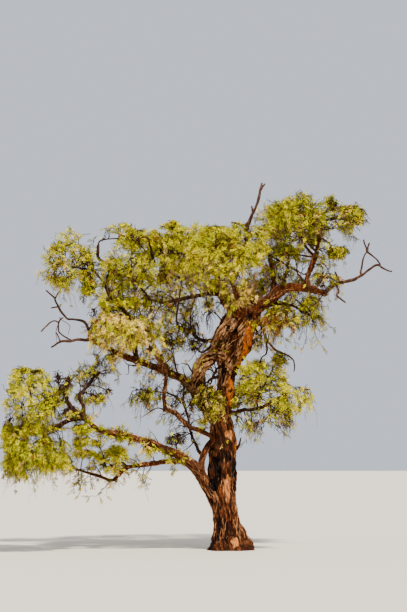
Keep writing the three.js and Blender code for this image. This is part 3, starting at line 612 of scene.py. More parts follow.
def spine_of(rows):
    """One spine for several ways, each row being (way, half widths at its foot and tip)."""
    parts = []
    for number, (way, foot, tip) in enumerate(rows):
        count = max(8, round(length_of(way) / SPINE_SPACING))
        points = smooth_way(way, count)
        ahead, side, face = axes_along(points)
        travelled = np.append(0, np.cumsum(np.linalg.norm(np.diff(points, axis=0), axis=1)))
        width = np.linspace(foot, tip, count)
        parts.append((points, ahead, side, face, travelled + SPINE_APART * number, width))
    return Spine(*(np.concatenate(column) for column in zip(*parts)))


def finder_of(points):
    """A quick finder of the nearest of some points."""
    finder = kdtree.KDTree(len(points))
    for number, point in enumerate(points):
        finder.insert(point, number)
    finder.balance()
    return finder


def places_on(places, spine):
    """Where vertices lie on their limbs: across, up and along, and how thick the limb is."""
    finder = finder_of(spine.points)
    nearest = np.array([finder.find(place)[1] for place in places])
    offset = places - spine.points[nearest]
    across = (offset * spine.side[nearest]).sum(1)
    up = (offset * spine.face[nearest]).sum(1)
    along = spine.travelled[nearest] + (offset * spine.ahead[nearest]).sum(1)
    return across, up, along, spine.width[nearest]


print("spines follow every limb")

# %% The relief itself
TWIST = 0.9  # how far the ropes of the trunk turn, in radians a metre
COARSE_FURROW = 0.05
FINE_FURROW = 0.022
ROPES_IN_METRE = (8, 8, 1.3)  # across, up and along
LUMPS_IN_METRE = (16, 16, 9)
THICK_FROM = 0.04  # the half width at which the bark starts to thicken
THICK_OVER = 0.12  # and how much more it takes for the full relief
ROPE_RELIEF = 0.34
LUMP_RELIEF = 0.16
COARSE_DEPTH = 0.022
FINE_DEPTH = 0.007


def valleys(across, up, along, width, seed, sharpness=2.6):
    """Narrow furrows, about a width apart and six widths long: 1 at the bottom, 0 on the ridges."""
    cells = np.stack([across / width, up / width, along / (6 * width)], 1)
    return np.clip(1 - sharpness * np.abs(2 * rough_noise(cells, seed, 2) - 1), 0, 1)


def relief_heights(across, up, along, width):
    """How far the bark stands out of the blank, in metres, and how deep in a furrow it is."""
    turn = TWIST * along
    turned = across * np.cos(turn) - up * np.sin(turn)
    turned_up = across * np.sin(turn) + up * np.cos(turn)
    rope_cells = np.stack([turned, turned_up, along], 1) * ROPES_IN_METRE
    lump_cells = np.stack([across, up, along], 1) * LUMPS_IN_METRE
    ropes = rough_noise(rope_cells, SEEDS["ropes"], 2) - 0.5
    lumps = rough_noise(lump_cells, SEEDS["lumps"], 2) - 0.5
    thick = np.clip((width - THICK_FROM) / THICK_OVER, 0, 1)
    coarse = valleys(turned, turned_up, along, COARSE_FURROW, SEEDS["coarse furrows"])
    fine = valleys(across, up, along, FINE_FURROW, SEEDS["fine furrows"])
    furrow = coarse * thick + fine * (1 - 0.5 * thick)
    height = width * (ROPE_RELIEF * ropes + LUMP_RELIEF * lumps)
    height -= COARSE_DEPTH * thick * coarse + np.minimum(FINE_DEPTH, 0.16 * width) * fine
    return height, np.clip(furrow, 0, 1)


def vertex_values(piece, name):
    """The places or the normals of all corners of a piece, as one array."""
    values = np.empty(len(piece.data.vertices) * 3)
    piece.data.vertices.foreach_get(name, values)
    return values.reshape(-1, 3)


def store_marks(piece, marks):
    """Keeps four values from 0 to 1 on each vertex, for the bark's paint to read."""
    layer = piece.data.attributes.new("marks", "FLOAT_COLOR", "POINT")
    layer.data.foreach_set("color", np.clip(marks, 0, 1).astype(np.float32).ravel())


print("ropes turn", TWIST, "radians a metre up the trunk")

# %% Scars of the trunk
@dataclass
class Scar:
    """A worn or burnt place, or a hollow with painted shade: its kind, middle and half sizes, and how deep
    it sinks the skin.
    """
    kind: str
    middle: tuple
    half: tuple
    depth: float = 0.0


# the first mark, furrow, is where painted shade darkens the furrows of the bark
SCAR_KINDS = ["furrow", "char_and_shade", "bare", "pale"]
SCARS = [
    # these two paint the hollow between the left stem and the trunk near black: part burnt wood, part
    # painted shade of the hollow
    Scar("char_and_shade", (-0.29, -0.22, 1.42), (0.12, 0.18, 0.56), 0.07),
    Scar("char_and_shade", (-0.3, 0.0, 1.42), (0.16, 0.3, 0.62)),
    Scar("char_and_shade", (-0.02, -0.24, 1.74), (0.07, 0.1, 0.12), 0.04),
    Scar("char_and_shade", (0.1, -0.2, 1.5), (0.06, 0.14, 0.42), 0.03),
    Scar("char_and_shade", (-0.2, -0.25, 0.42), (0.05, 0.12, 0.34), 0.03),
    Scar("char_and_shade", (-0.05, -0.3, 0.3), (0.03, 0.12, 0.2), 0.02),
    Scar("char_and_shade", (0.42, -0.2, 4.42), (0.1, 0.2, 0.09), 0.05),
    Scar("char_and_shade", (-0.36, -0.16, 0.14), (0.09, 0.2, 0.16), 0.02),
    Scar("char_and_shade", (0.12, -0.2, 4.28), (0.05, 0.2, 0.12), 0.04),
    Scar("char_and_shade", (-0.02, -0.2, 4.08), (0.05, 0.2, 0.16), 0.04),
    Scar("char_and_shade", (0.08, -0.25, 3.62), (0.035, 0.2, 0.2), 0.03),
    Scar("char_and_shade", (-0.24, -0.2, 3.5), (0.05, 0.3, 0.2), 0.03),
    Scar("char_and_shade", (-0.13, -0.2, 3.3), (0.04, 0.2, 0.2), 0.03),
    Scar("char_and_shade", (-0.04, -0.25, 4.15), (0.076, 0.2, 0.15), 0.05),
    Scar("char_and_shade", (0.04, -0.15, 4.72), (0.076, 0.2, 0.11), 0.03),
    Scar("char_and_shade", (-0.17, -0.22, 3.56), (0.048, 0.2, 0.17), 0.03),
    Scar("char_and_shade", (-0.53, -0.1, 3.22), (0.057, 0.15, 0.057), 0.03),
    Scar("char_and_shade", (-0.15, -0.25, 3.79), (0.095, 0.2, 0.048), 0.03),
    Scar("char_and_shade", (-0.46, -0.2, 3.49), (0.057, 0.15, 0.11), 0.02),
    Scar("char_and_shade", (-0.32, -0.25, 3.71), (0.095, 0.15, 0.038), 0.02),
    Scar("bare", (0.42, -0.1, 4.1), (0.15, 0.34, 0.3), 0.03),
    Scar("bare", (0.33, -0.14, 3.76), (0.1, 0.3, 0.26), 0.02),
    Scar("bare", (0.22, -0.14, 3.5), (0.07, 0.2, 0.2), 0.01),
    Scar("bare", (0.03, -0.2, 3.16), (0.1, 0.15, 0.16), 0.01),
    Scar("bare", (0.05, -0.2, 2.86), (0.08, 0.15, 0.2), 0.01),
    Scar("bare", (0.16, -0.2, 1.9), (0.05, 0.15, 0.34)),
    Scar("pale", (-0.03, -0.27, 1.18), (0.07, 0.12, 0.24), -0.01),
    Scar("pale", (0.12, -0.3, 0.16), (0.1, 0.2, 0.12)),
    Scar("pale", (0.04, -0.27, 2.18), (0.09, 0.15, 0.16)),
]
SCAR_RAGGED = (15, 15, 5)
SCAR_FIBRES = (46, 46, 6)
SCAR_EDGE = 3.4  # how sharp the edge of a scar is
SCAR_TORN = 2.2  # how far the noise moves this edge
BARE_SMOOTHER = 0.35


def plain_marks(furrow):
    """The marks of bark without scars: how deep in a furrow each vertex is, which the paint darkens as
    painted shade, and three zeros.
    """
    return np.stack([furrow, *np.zeros((3, len(furrow)))], 1)


def scar_marks(places, furrow):
    """The four marks of each vertex, and how deep the scars sink it."""
    marks = plain_marks(furrow)
    depth = np.zeros(len(places))
    ragged = rough_noise(places * SCAR_RAGGED, SEEDS["scars"], 4) - 0.5
    fibres = np.clip(1.9 * rough_noise(places * SCAR_FIBRES, SEEDS["fibres"], 2) - 0.1, 0.25, 1)
    for scar in SCARS:
        distance = np.linalg.norm((places - scar.middle) / scar.half, axis=1)
        weight = np.clip(SCAR_EDGE * (1 - distance + SCAR_TORN * ragged), 0, 1)
        column = SCAR_KINDS.index(scar.kind)
        worn = weight * (fibres if scar.kind == "pale" else 1)
        marks[:, column] = np.maximum(marks[:, column], worn)
        depth += weight * scar.depth
    return marks, depth


print(len(SCARS), "scars are placed")

# %% Paint for bark and dead wood
def add_node(tree, kind, **settings):
    """A new node with its own settings."""
    node = tree.nodes.new(kind)
    for name, value in settings.items():
        setattr(node, name, value)
    return node


def feed(tree, socket, value):
    """Sets a socket to a plain value, or links another node's output to it."""
    if isinstance(value, bpy.types.NodeSocket):
        tree.links.new(value, socket)
    else:
        socket.default_value = value


def mixed(tree, share, first, second):
    """Two colours, with the second one laid over the first by its share."""
    node = add_node(tree, "ShaderNodeMix", data_type="RGBA")
    feed(tree, node.inputs[0], share)
    feed(tree, node.inputs[6], first)
    feed(tree, node.inputs[7], second)
    return node.outputs[2]


def noise_node(tree, place, scale, detail=5, roughness=0.6):
    """Cloudy values from 0 to 1."""
    node = add_node(tree, "ShaderNodeTexNoise")
    feed(tree, node.inputs["Vector"], place)
    node.inputs["Scale"].default_value = scale
    node.inputs["Detail"].default_value = detail
    node.inputs["Roughness"].default_value = roughness
    return node.outputs["Fac"]


def ramp_node(tree, value, stops):
    """Turns a value into a colour, through stops of (value, colour)."""
    node = add_node(tree, "ShaderNodeValToRGB")
    feed(tree, node.inputs["Fac"], value)
    ramp = node.color_ramp
    while len(ramp.elements) < len(stops):
        ramp.elements.new(0.5)
    for element, (place, colour) in zip(ramp.elements, stops):
        element.position = place
        element.color = colour
    return node.outputs["Color"]


DULL = 0.12  # how little bark and dry leaves shine, where 0.5 is a glossy coat
NONE = (0, 0, 0, 1)
ALL = (1, 1, 1, 1)
# painted shade: the near-black colour laid into the furrows, darkest at a furrow's bottom
FURROW_SHADE_COLOUR = tone(34, 12, 2)
# near black of char, which in the hollow by the left stem is also painted shade
CHAR_AND_SHADE_STOPS = [(0.46, tone(8, 5, 4)), (0.6, tone(30, 13, 6)), (0.74, tone(176, 140, 112))]
BARE_STOPS = [(0.32, tone(84, 34, 0)), (0.5, tone(206, 104, 0)), (0.75, tone(244, 168, 40))]
PALE_STOPS = [(0.3, tone(106, 50, 16)), (0.5, tone(208, 126, 60)), (0.75, tone(246, 196, 136))]


def wood_paint(name, dark, middle, light, weathered, bump):
    """Streaked bark with painted shade darkening its furrows, which takes the scars from the marks."""
    material = bpy.data.materials.new(name)
    material.use_nodes = True
    tree = material.node_tree
    shader = tree.nodes["Principled BSDF"]
    shader.inputs["Roughness"].default_value = 0.92
    shader.inputs["Specular IOR Level"].default_value = DULL
    place = add_node(tree, "ShaderNodeTexCoord").outputs["Object"]
    streaks = add_node(tree, "ShaderNodeMapping")
    feed(tree, streaks.inputs["Vector"], place)
    streaks.inputs["Scale"].default_value = (1, 1, 0.28)
    grain = noise_node(tree, streaks.outputs["Vector"], 34, 6, 0.7)
    patches = noise_node(tree, place, 2.4, 4, 0.55)
    base = ramp_node(tree, grain, [(0.37, dark), (0.51, middle), (0.7, light)])
    patched = mixed(tree, ramp_node(tree, patches, [(0.45, NONE), (0.7, ALL)]), base, weathered)
    marks = add_node(tree, "ShaderNodeAttribute", attribute_name="marks")
    split = add_node(tree, "ShaderNodeSeparateColor")
    feed(tree, split.inputs["Color"], marks.outputs["Color"])
    furrow_shaded = mixed(tree, split.outputs["Red"], patched, FURROW_SHADE_COLOUR)
    bare_grain = ramp_node(tree, grain, BARE_STOPS)
    bared = mixed(tree, split.outputs["Blue"], furrow_shaded, bare_grain)
    pale_grain = ramp_node(tree, grain, PALE_STOPS)
    paled = mixed(tree, marks.outputs["Alpha"], bared, pale_grain)
    charred_and_shaded = mixed(tree, split.outputs["Green"], paled, ramp_node(tree, grain, CHAR_AND_SHADE_STOPS))
    feed(tree, shader.inputs["Base Color"], charred_and_shaded)
    relief = add_node(tree, "ShaderNodeBump")
    relief.inputs["Strength"].default_value = bump
    relief.inputs["Distance"].default_value = 0.012
    feed(tree, relief.inputs["Height"], grain)
    feed(tree, shader.inputs["Normal"], relief.outputs["Normal"])
    return material


bark_paint = wood_paint(
    "furrowed bark", tone(28, 10, 3), tone(104, 48, 14), tone(184, 112, 56), tone(88, 50, 26), 0.9
)
thin_bark_paint = wood_paint(
    "thin dark bark", tone(20, 11, 7), tone(58, 33, 19), tone(120, 82, 52), tone(62, 42, 30), 0.6
)
dead_paint = wood_paint(
    "weathered dead wood", tone(44, 26, 17), tone(98, 66, 46), tone(156, 116, 86), tone(70, 52, 42),
    0.5,
)
print("bark, thin bark and dead wood are painted")

# %% [markdown]
# ## The trunk
# The trunk is swept in one go with the plain model's own half widths. Ropes of wood are laid
# along it, and a few strands stand free of its left flank. A remesh fuses all of this into even
# small faces. Then it is carved, and cut flat at the ground with a bisect, as with a saw.

# %% Trunk
TRUNK_VOXEL = 0.0113
LIMB_VOXEL = 0.0135
SAW_MARGIN = 0.000001  # corners this near the saw's plane count as on it
TRUNK_SIDES = 64
TRUNK_POINTS = 120
SPINE_WIDTHS = (0.26, 0.2)  # of the trunk, at its foot and its tip


def remesh(piece, voxel):
    """Fuses what overlaps, as one skin of even faces, and softens the steps this leaves."""
    only(piece)
    bpy.ops.object.modifier_add(type="REMESH")
    skin = piece.modifiers[-1]
    skin.mode = "VOXEL"
    skin.voxel_size = voxel
    bpy.ops.object.modifier_apply(modifier=skin.name)
    bpy.ops.object.modifier_add(type="SMOOTH")
    ease = piece.modifiers[-1]
    ease.factor = 0.5
    ease.iterations = 2
    bpy.ops.object.modifier_apply(modifier=ease.name)


def carve(piece, spine, with_scars):
    """Moves every vertex along its normal by the bark's relief, and stores the marks."""
    places = vertex_values(piece, "co")
    normals = vertex_values(piece, "normal")
    height, furrow = relief_heights(*places_on(places, spine))
    marks = plain_marks(furrow)
    if with_scars:
        marks, depth = scar_marks(places, furrow)
        height = height * (1 - BARE_SMOOTHER * marks[:, 2]) - depth
    piece.data.vertices.foreach_set("co", (places + normals * height[:, None]).ravel())
    store_marks(piece, marks)
    piece.data.update()


@dataclass
class Rope:
    """A strand of wood up the trunk: its half width, how far it stands out, and its way as
    (height, degrees round the trunk)."""
    half_width: float
    out: float
    way: list


ROPES = [
    Rope(0.045, 0.03, [(3.55, 200), (3.8, 190), (4.0, 184), (4.14, 182), (4.28, 188), (4.42, 214)]),
    Rope(0.036, 0.0, [(3.7, 214), (3.92, 240), (4.08, 250), (4.23, 258), (4.4, 268)]),
    Rope(0.032, 0.03, [(3.62, 176), (3.79, 186), (3.9, 212), (4.0, 233), (4.16, 242)]),
    Rope(0.03, 0.0, [(3.1, 204), (3.25, 206), (3.42, 226), (3.6, 222), (3.76, 214), (3.95, 204)]),
    Rope(0.026, 0.0, [(3.2, 262), (3.42, 270), (3.6, 258), (3.77, 251), (3.95, 262), (4.1, 276)]),
    Rope(0.028, 0.0, [(3.2, 322), (3.45, 318), (3.62, 296), (3.79, 272), (3.95, 246)]),
    Rope(0.03, 0.01, [(3.86, 150), (4.0, 166), (4.2, 196), (4.36, 232)]),
    Rope(0.04, 0.0, [(3.4, 120), (3.7, 130), (4.0, 146), (4.3, 160)]),
    Rope(0.045, 0.0, [(3.3, 60), (3.7, 52), (4.1, 40), (4.45, 34)]),
    Rope(0.05, 0.0, [(0.0, 238), (0.5, 246), (1.0, 256), (1.4, 262), (1.8, 274), (2.3, 282)]),
    Rope(0.045, 0.0, [(0.0, 304), (0.4, 300), (0.9, 296), (1.4, 304), (1.9, 312), (2.5, 318)]),
    Rope(0.045, 0.0, [(0.7, 344), (1.2, 340), (1.9, 346), (2.6, 352), (3.2, 350)]),
    Rope(0.04, 0.0, [(0.2, 272), (0.7, 278), (1.1, 282), (1.5, 284), (2.0, 292), (2.6, 290)]),
    Rope(0.05, 0.0, [(0.0, 74), (0.7, 66), (1.5, 72), (2.3, 84), (3.0, 88)]),
    Rope(0.05, 0.0, [(0.0, 128), (0.8, 134), (1.6, 128), (2.4, 140), (3.1, 150)]),
    Rope(0.045, 0.0, [(0.1, 30), (0.9, 24), (1.8, 18), (2.6, 26), (3.3, 20)]),
    Rope(0.04, 0.0, [(1.7, 226), (2.1, 236), (2.5, 240), (2.9, 252), (3.2, 244)]),
    Rope(0.035, 0.0, [(2.2, 306), (2.6, 300), (3.0, 310), (3.4, 326), (3.8, 338), (4.2, 340)]),
]
ROPE_SUNK = 0.35  # the share of its half width that a rope lies deeper than the surface
ROPE_ENDS = 0.35  # the share of its half width that a rope has left at its ends
ROPE_FULLNESS = 0.6
ROPE_SIDES = 10
ROPE_POINTS = 40
FLANK_POINTS = 30
FLANK_THINNER = 0.4
# the half width and the way of strands that stand free of the trunk's left flank
FLANK_STRANDS = [
    (0.075, [(0.16, -0.02, 4.72), (0.06, -0.05, 4.5), (-0.06, -0.08, 4.28), (-0.2, -0.1, 4.06),
        (-0.3, -0.1, 3.84)]),
    (0.05, [(0.02, -0.2, 4.6), (-0.02, -0.22, 4.36), (-0.16, -0.2, 4.14), (-0.28, -0.2, 3.92),
        (-0.36, -0.14, 3.72)]),
    (0.04, [(-0.02, 0.08, 4.5), (-0.16, 0.06, 4.3), (-0.26, 0.04, 4.1), (-0.33, 0.02, 3.9),
        (-0.3, 0.0, 3.7)]),
    (0.03, [(0.1, -0.3, 4.34), (-0.04, -0.32, 4.2), (-0.18, -0.3, 3.98), (-0.24, -0.26, 3.74),
        (-0.2, -0.22, 3.5)]),
]


def rope_profile(half_width):
    """Thickest halfway, and about a third of that at both ends."""
    def profile(share, outward, middle):
        return half_width * (ROPE_ENDS + (1 - ROPE_ENDS) * np.sin(math.pi * share) ** ROPE_FULLNESS)
    return profile


def flank_profile(half_width):
    """Evenly thinner from the foot to the tip."""
    return lambda share, outward, middle: half_width * (1 - FLANK_THINNER * share)


def rope_on_trunk(rope):
    """A strand along the surface of the trunk, thickest halfway."""
    flat_way = [(height, degrees / 100, 0) for height, degrees in rope.way]
    heights, degrees = smooth_way(flat_way, ROPE_POINTS)[:, :2].T
    angle = np.radians(100 * degrees)
    outward = np.stack([np.cos(angle), np.sin(angle), np.zeros(len(angle))], 1)
    x, y = (np.interp(heights, trunk_points[:, 2], trunk_points[:, axis]) for axis in (0, 1))
    middle = np.stack([x, y, heights], 1)
    radius = trunk_half_width(0, outward, middle) + rope.out - ROPE_SUNK * rope.half_width
    points = middle + outward * radius[:, None]
    return swept_limb(points, ROPE_SIDES, rope_profile(rope.half_width))


trunk_points = smooth_way(TRUNK_WAY, TRUNK_POINTS)
trunk_spine = spine_of([(TRUNK_WAY, *SPINE_WIDTHS)])
trunk_blank = swept_limb(trunk_points, TRUNK_SIDES, trunk_half_width)
trunk_ropes = [rope_on_trunk(rope) for rope in ROPES]
for half_width, way in FLANK_STRANDS:
    trunk_ropes.append(swept_limb(smooth_way(way, FLANK_POINTS), ROPE_SIDES, flank_profile(half_width)))
trunk = piece_from("trunk_bark", *joined([trunk_blank, *trunk_ropes]), bark_paint)
remesh(trunk, TRUNK_VOXEL)
carve(trunk, trunk_spine, with_scars=True)
only(trunk)
bpy.ops.object.mode_set(mode="EDIT")
bpy.ops.mesh.select_all(action="SELECT")
bpy.ops.mesh.bisect(
    plane_co=(0, 0, 0), plane_no=(0, 0, 1), use_fill=True, clear_inner=True, threshold=SAW_MARGIN
)
bpy.ops.object.mode_set(mode="OBJECT")
bpy.ops.object.shade_smooth()
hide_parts("trunk")
print("the trunk has", triangles_in(trunk), "triangles")

# %% [markdown]
# ## Heavy limbs
# All the living limbs thick enough for the voxels go into one skin. That way a fork has a real
# crotch, with no seam where one limb leaves another. Strands of wood wind round the thickest.

# %% Heavy limbs
LIMB_SIDES = 20
LIMB_SPACING = 0.03
STRANDS_ROUND = {  # how many strands, and how far they turn from foot to tip, in radians
    "twisted_limb": (7, 2.4), "left_fork_bough": (4, 1.2), "right_fork_bough": (4, 1.0),
    "left_stem": (4, 0.8), "left_arm": (3, 0.7), "long_left_bough": (3, 0.5),
}
ROUND_POINTS = 50
ROUND_SIDES = 8
ROUND_OUT = 0.82  # how far out their middles lie, in half widths of the limb
ROUND_THINNEST = 0.24
ROUND_STEP = 0.07


def strands_round(name, count, turn):
    """Strands that wind along a limb, each about a quarter to a third as thick as the limb."""
    stretch = stretches_of(name)[0]
    points = smooth_way(stretch.way, ROUND_POINTS)
    _, side, face = axes_along(points)
    share = np.linspace(0, 1, len(points))
    width = stretch.foot + (stretch.tip - stretch.foot) * share
    strands = []
    for number in range(count):
        angle = 2 * math.pi * number / count + turn * share * (1 + 0.3 * (-1) ** number)
        outward = side * np.cos(angle)[:, None] + face * np.sin(angle)[:, None]
        way = points + outward * (width * ROUND_OUT)[:, None]
        thick = ROUND_THINNEST + ROUND_STEP * (number % 3)
        strands.append(swept_limb(way, ROUND_SIDES, lambda at, _, __: thick * np.interp(at, share, width)))
    return strands


heavy_stretches = [stretch for name in HEAVY_LIMBS for stretch in stretches_of(name)]
heavy_spine = spine_of([(stretch.way, stretch.foot, stretch.tip) for stretch in heavy_stretches])
heavy_parts = [blank_of(stretch, LIMB_SIDES, LIMB_SPACING) for stretch in heavy_stretches]
for name, (count, turn) in STRANDS_ROUND.items():
    heavy_parts.extend(strands_round(name, count, turn))
heavy = piece_from("heavy_limbs_bark", *joined(heavy_parts), bark_paint)
remesh(heavy, LIMB_VOXEL)
carve(heavy, heavy_spine, with_scars=True)
only(heavy)
bpy.ops.object.shade_smooth()
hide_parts(*HEAVY_LIMBS)
print("the heavy limbs have", triangles_in(heavy), "triangles")

# %% [markdown]
# ## Slender and dead limbs
# Voxels would eat the thin tips, so slender limbs and the dead ones with their prongs are swept
# directly with closely spaced rings. The same relief then roughens them, more gently. A noise in
# space bends them into kinks first. Bare twigs and stubs are made the same way.

# %% Bare twigs and stubs that stand out by themselves
BARE_TWIGS = [  # the half width at the foot, and the way
    (0.055, [(-2.75, -0.8, 2.48), (-2.88, -0.82, 2.61), (-2.99, -0.84, 2.74), (-3.05, -0.86, 2.88),
        (-3.03, -0.86, 3.07), (-2.98, -0.84, 3.24)]),
    (0.04, [(-2.71, -0.8, 2.5), (-2.72, -0.78, 2.68), (-2.78, -0.7, 2.82), (-2.81, -0.62, 2.93),
        (-2.7, -0.5, 3.05), (-2.58, -0.4, 3.21), (-2.48, -0.3, 3.4)]),
    (0.05, [(-2.71, -0.8, 2.46), (-2.93, -0.82, 2.46), (-3.1, -0.84, 2.36), (-3.26, -0.86, 2.31),
        (-3.45, -0.88, 2.23)]),
    (0.022, [(-3.05, -0.86, 2.87), (-3.14, -0.9, 2.98), (-3.19, -0.9, 3.14)]),
    (0.03, [(-0.13, -0.1, 3.49), (-0.25, -0.16, 3.41), (-0.3, -0.16, 3.28), (-0.38, -0.14, 3.14),
        (-0.49, -0.1, 3.11)]),
    (0.018, [(-0.28, -0.16, 3.34), (-0.36, -0.18, 3.41), (-0.46, -0.16, 3.39)]),
    (0.016, [(-1.66, 0.22, 3.51), (-1.79, 0.15, 3.51), (-1.91, 0.1, 3.52), (-1.98, 0.05, 3.56),
        (-2.09, 0, 3.72)]),
    (0.011, [(-1.91, 0.1, 3.52), (-1.93, 0.05, 3.41), (-1.95, 0.05, 3.34), (-2.01, 0, 3.37)]),
    (0.011, [(-1.3, -0.45, 1.96), (-1.42, -0.5, 2.13), (-1.53, -0.55, 2.3)]),
    (0.012, [(-0.69, -0.1, 2.02), (-0.78, -0.15, 2.19), (-0.93, -0.2, 2.23), (-1.08, -0.25, 2.17),
        (-1.16, -0.3, 2.08)]),
    (0.014, [(-1.25, -0.52, 2.64), (-1.36, -0.55, 2.67), (-1.46, -0.6, 2.63), (-1.56, -0.62, 2.56),
        (-1.67, -0.65, 2.47)]),
    (0.009, [(-1.46, -0.6, 2.63), (-1.55, -0.62, 2.67), (-1.6, -0.62, 2.74)]),
    (0.032, [(0.61, 0.05, 4.36), (0.72, -0.05, 4.07), (0.79, -0.1, 3.92), (0.91, -0.12, 3.78),
        (1.06, -0.16, 3.74), (1.17, -0.18, 3.66), (1.25, -0.2, 3.54), (1.23, -0.2, 3.37)]),
    (0.024, [(0.7, -0.08, 4.11), (0.74, -0.1, 3.9), (0.73, -0.1, 3.74), (0.62, -0.12, 3.63),
        (0.56, -0.15, 3.45)]),
    (0.014, [(1.86, -0.32, 4.94), (1.79, -0.36, 4.82), (1.7, -0.4, 4.68), (1.58, -0.42, 4.62),
        (1.51, -0.42, 4.69), (1.47, -0.42, 4.78)]),
    (0.011, [(1.51, 0.2, 4.68), (1.62, 0.15, 4.52), (1.7, 0.1, 4.36), (1.77, 0.08, 4.19)]),
    (0.01, [(1.71, 0.2, 4.49), (1.88, 0.15, 4.35), (1.99, 0.12, 4.3), (2.09, 0.1, 4.19)]),
    (0.018, [(-0.03, -0.05, 4.15), (-0.12, -0.15, 4.28), (-0.17, -0.25, 4.4), (-0.3, -0.3, 4.49),
        (-0.42, -0.32, 4.42), (-0.43, -0.34, 4.18)]),
    (0.03, [(-1.45, -0.4, 5.47), (-1.47, -0.8, 5.62), (-1.49, -1, 5.7), (-1.53, -1.05, 5.8),
        (-1.59, -1.05, 5.84), (-1.66, -1.05, 5.82), (-1.72, -1.05, 5.78), (-1.79, -1, 5.78),
        (-1.83, -1, 5.82), (-1.83, -0.95, 5.89)]),
    (0.022, [(-1.7, -1.05, 5.79), (-1.66, -1.02, 5.68), (-1.6, -1, 5.62), (-1.53, -0.9, 5.53)]),
    (0.018, [(-1.73, -1.05, 5.78), (-1.69, -1.1, 5.84), (-1.62, -1.1, 5.87)]),
    (0.016, [(-2.14, -0.3, 4.93), (-2.04, -0.35, 4.8), (-1.93, -0.4, 4.63)]),
    (0.009, [(-3.3, -0.14, 4.28), (-3.32, -0.16, 4.14), (-3.29, -0.18, 3.99), (-3.31, -0.2, 3.87)]),
    (0.01, [(-3.26, -0.15, 4.42), (-3.22, -0.2, 4.38), (-3.12, -0.25, 4.33), (-3.03, -0.28, 4.25),
        (-3.08, -0.3, 4.08)]),
    (0.026, [(1.71, -0.16, 5.6), (1.53, -0.2, 5.61), (1.37, -0.25, 5.61), (1.25, -0.3, 5.65)]),
    (0.028, [(1.73, -0.16, 5.65), (1.61, -0.22, 5.76), (1.49, -0.3, 5.89), (1.39, -0.35, 5.98)]),
    (0.022, [(1.54, -0.24, 5.06), (1.4, -0.3, 5.15), (1.31, -0.35, 5.28), (1.28, -0.4, 5.47),
        (1.23, -0.4, 5.58)]),
    (0.014, [(1.79, -0.12, 5.5), (1.88, -0.15, 5.38), (1.97, -0.18, 5.24), (2.05, -0.2, 5.08)]),
    (0.016, [(1.81, -0.1, 5.98), (1.94, -0.15, 5.87), (2.07, -0.2, 5.75), (2.27, -0.25, 5.67)]),
    (0.022, [(1.81, -0.1, 6.29), (1.96, -0.2, 6.33), (2.16, -0.3, 6.33), (2.37, -0.35, 6.23),
        (2.52, -0.4, 6.06)]),
    (0.026, [(1.83, -0.1, 6.45), (2, -0.2, 6.55), (2.24, -0.3, 6.55), (2.45, -0.35, 6.46),
        (2.58, -0.4, 6.3)]),
    (0.03, [(0.14, -0.1, 1.91), (0.19, -0.14, 1.98), (0.24, -0.16, 2.12)]),
    (0.024, [(0.2, -0.02, 3.5), (0.25, -0.06, 3.42), (0.29, -0.08, 3.28)]),
    (0.018, [(0.1, -0.05, 2.59), (0.21, -0.1, 2.52), (0.31, -0.12, 2.38)]),
    (0.012, [(0.18, -0.08, 2.5), (0.27, -0.12, 2.33), (0.23, -0.14, 2.23)]),
    (0.02, [(-0.63, 0.1, 3.02), (-0.75, 0.05, 3.17), (-0.86, 0, 3.38), (-0.9, 0, 3.5)]),
    (0.022, [(-0.53, -0.12, 3.32), (-0.69, -0.16, 3.39), (-0.78, -0.2, 3.51), (-0.92, -0.22, 3.52)]),
    (0.024, [(-0.32, -0.2, 3.87), (-0.49, -0.24, 3.75), (-0.65, -0.28, 3.82), (-0.78, -0.32, 4.01)]),
    (0.03, [(-0.2, -0.1, 3.28), (-0.32, -0.16, 3.24), (-0.46, -0.14, 3.17), (-0.6, -0.04, 3.1)]),
    (0.016, [(-0.3, -0.1, 3.62), (-0.34, -0.14, 3.5), (-0.31, -0.16, 3.36), (-0.35, -0.14, 3.22)]),
    (0.014, [(-0.22, -0.1, 3.66), (-0.26, -0.14, 3.52), (-0.24, -0.16, 3.34), (-0.27, -0.12, 3.1),
        (-0.22, -0.1, 2.94)]),
    (0.012, [(-0.36, -0.1, 3.56), (-0.3, -0.16, 3.46), (-0.2, -0.16, 3.38), (-0.13, -0.1, 3.32)]),
    (0.012, [(-0.4, -0.14, 3.2), (-0.34, -0.16, 3.06), (-0.37, -0.16, 2.92), (-0.3, -0.12, 2.78)]),
]
print(len(BARE_TWIGS), "bare twigs and stubs stand out by themselves")

# %% Slender and dead limbs
THIN_SIDES = 12
THIN_SPACING = 0.022
BARE_TIP = 0.3  # of the half width of a twig's foot
KINK_SPACING = 0.07
KINKS_IN_METRE = 6.5
KINK_SIZE = 0.075


def crooked(stretch):
    """The same stretch with kinks. They depend on the place alone, so prongs stay on their limb."""
    points = smooth_way(stretch.way, max(5, round(length_of(stretch.way) / KINK_SPACING)))
    kinks = np.stack([rough_noise(points * KINKS_IN_METRE, seed, 2) for seed in KINK_SEEDS], 1) - 0.5
    return replace(stretch, way=points + KINK_SIZE * kinks)


def thin_piece(name, limb_names, paint, more=()):
    """One carved piece for some limbs, with more stretches that have no plain limb."""
    stretches = [stretch for limb in limb_names for stretch in stretches_of(limb)]
    stretches = [crooked(stretch) for stretch in [*stretches, *more]]
    parts = [blank_of(stretch, THIN_SIDES, THIN_SPACING) for stretch in stretches]
    piece = piece_from(name, *joined(parts), paint)
    spine = spine_of([(stretch.way, stretch.foot, stretch.tip) for stretch in stretches])
    carve(piece, spine, with_scars=False)
    only(piece)
    bpy.ops.object.shade_smooth()
    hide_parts(*limb_names)
    print(name, "has", triangles_in(piece), "triangles")
    return piece


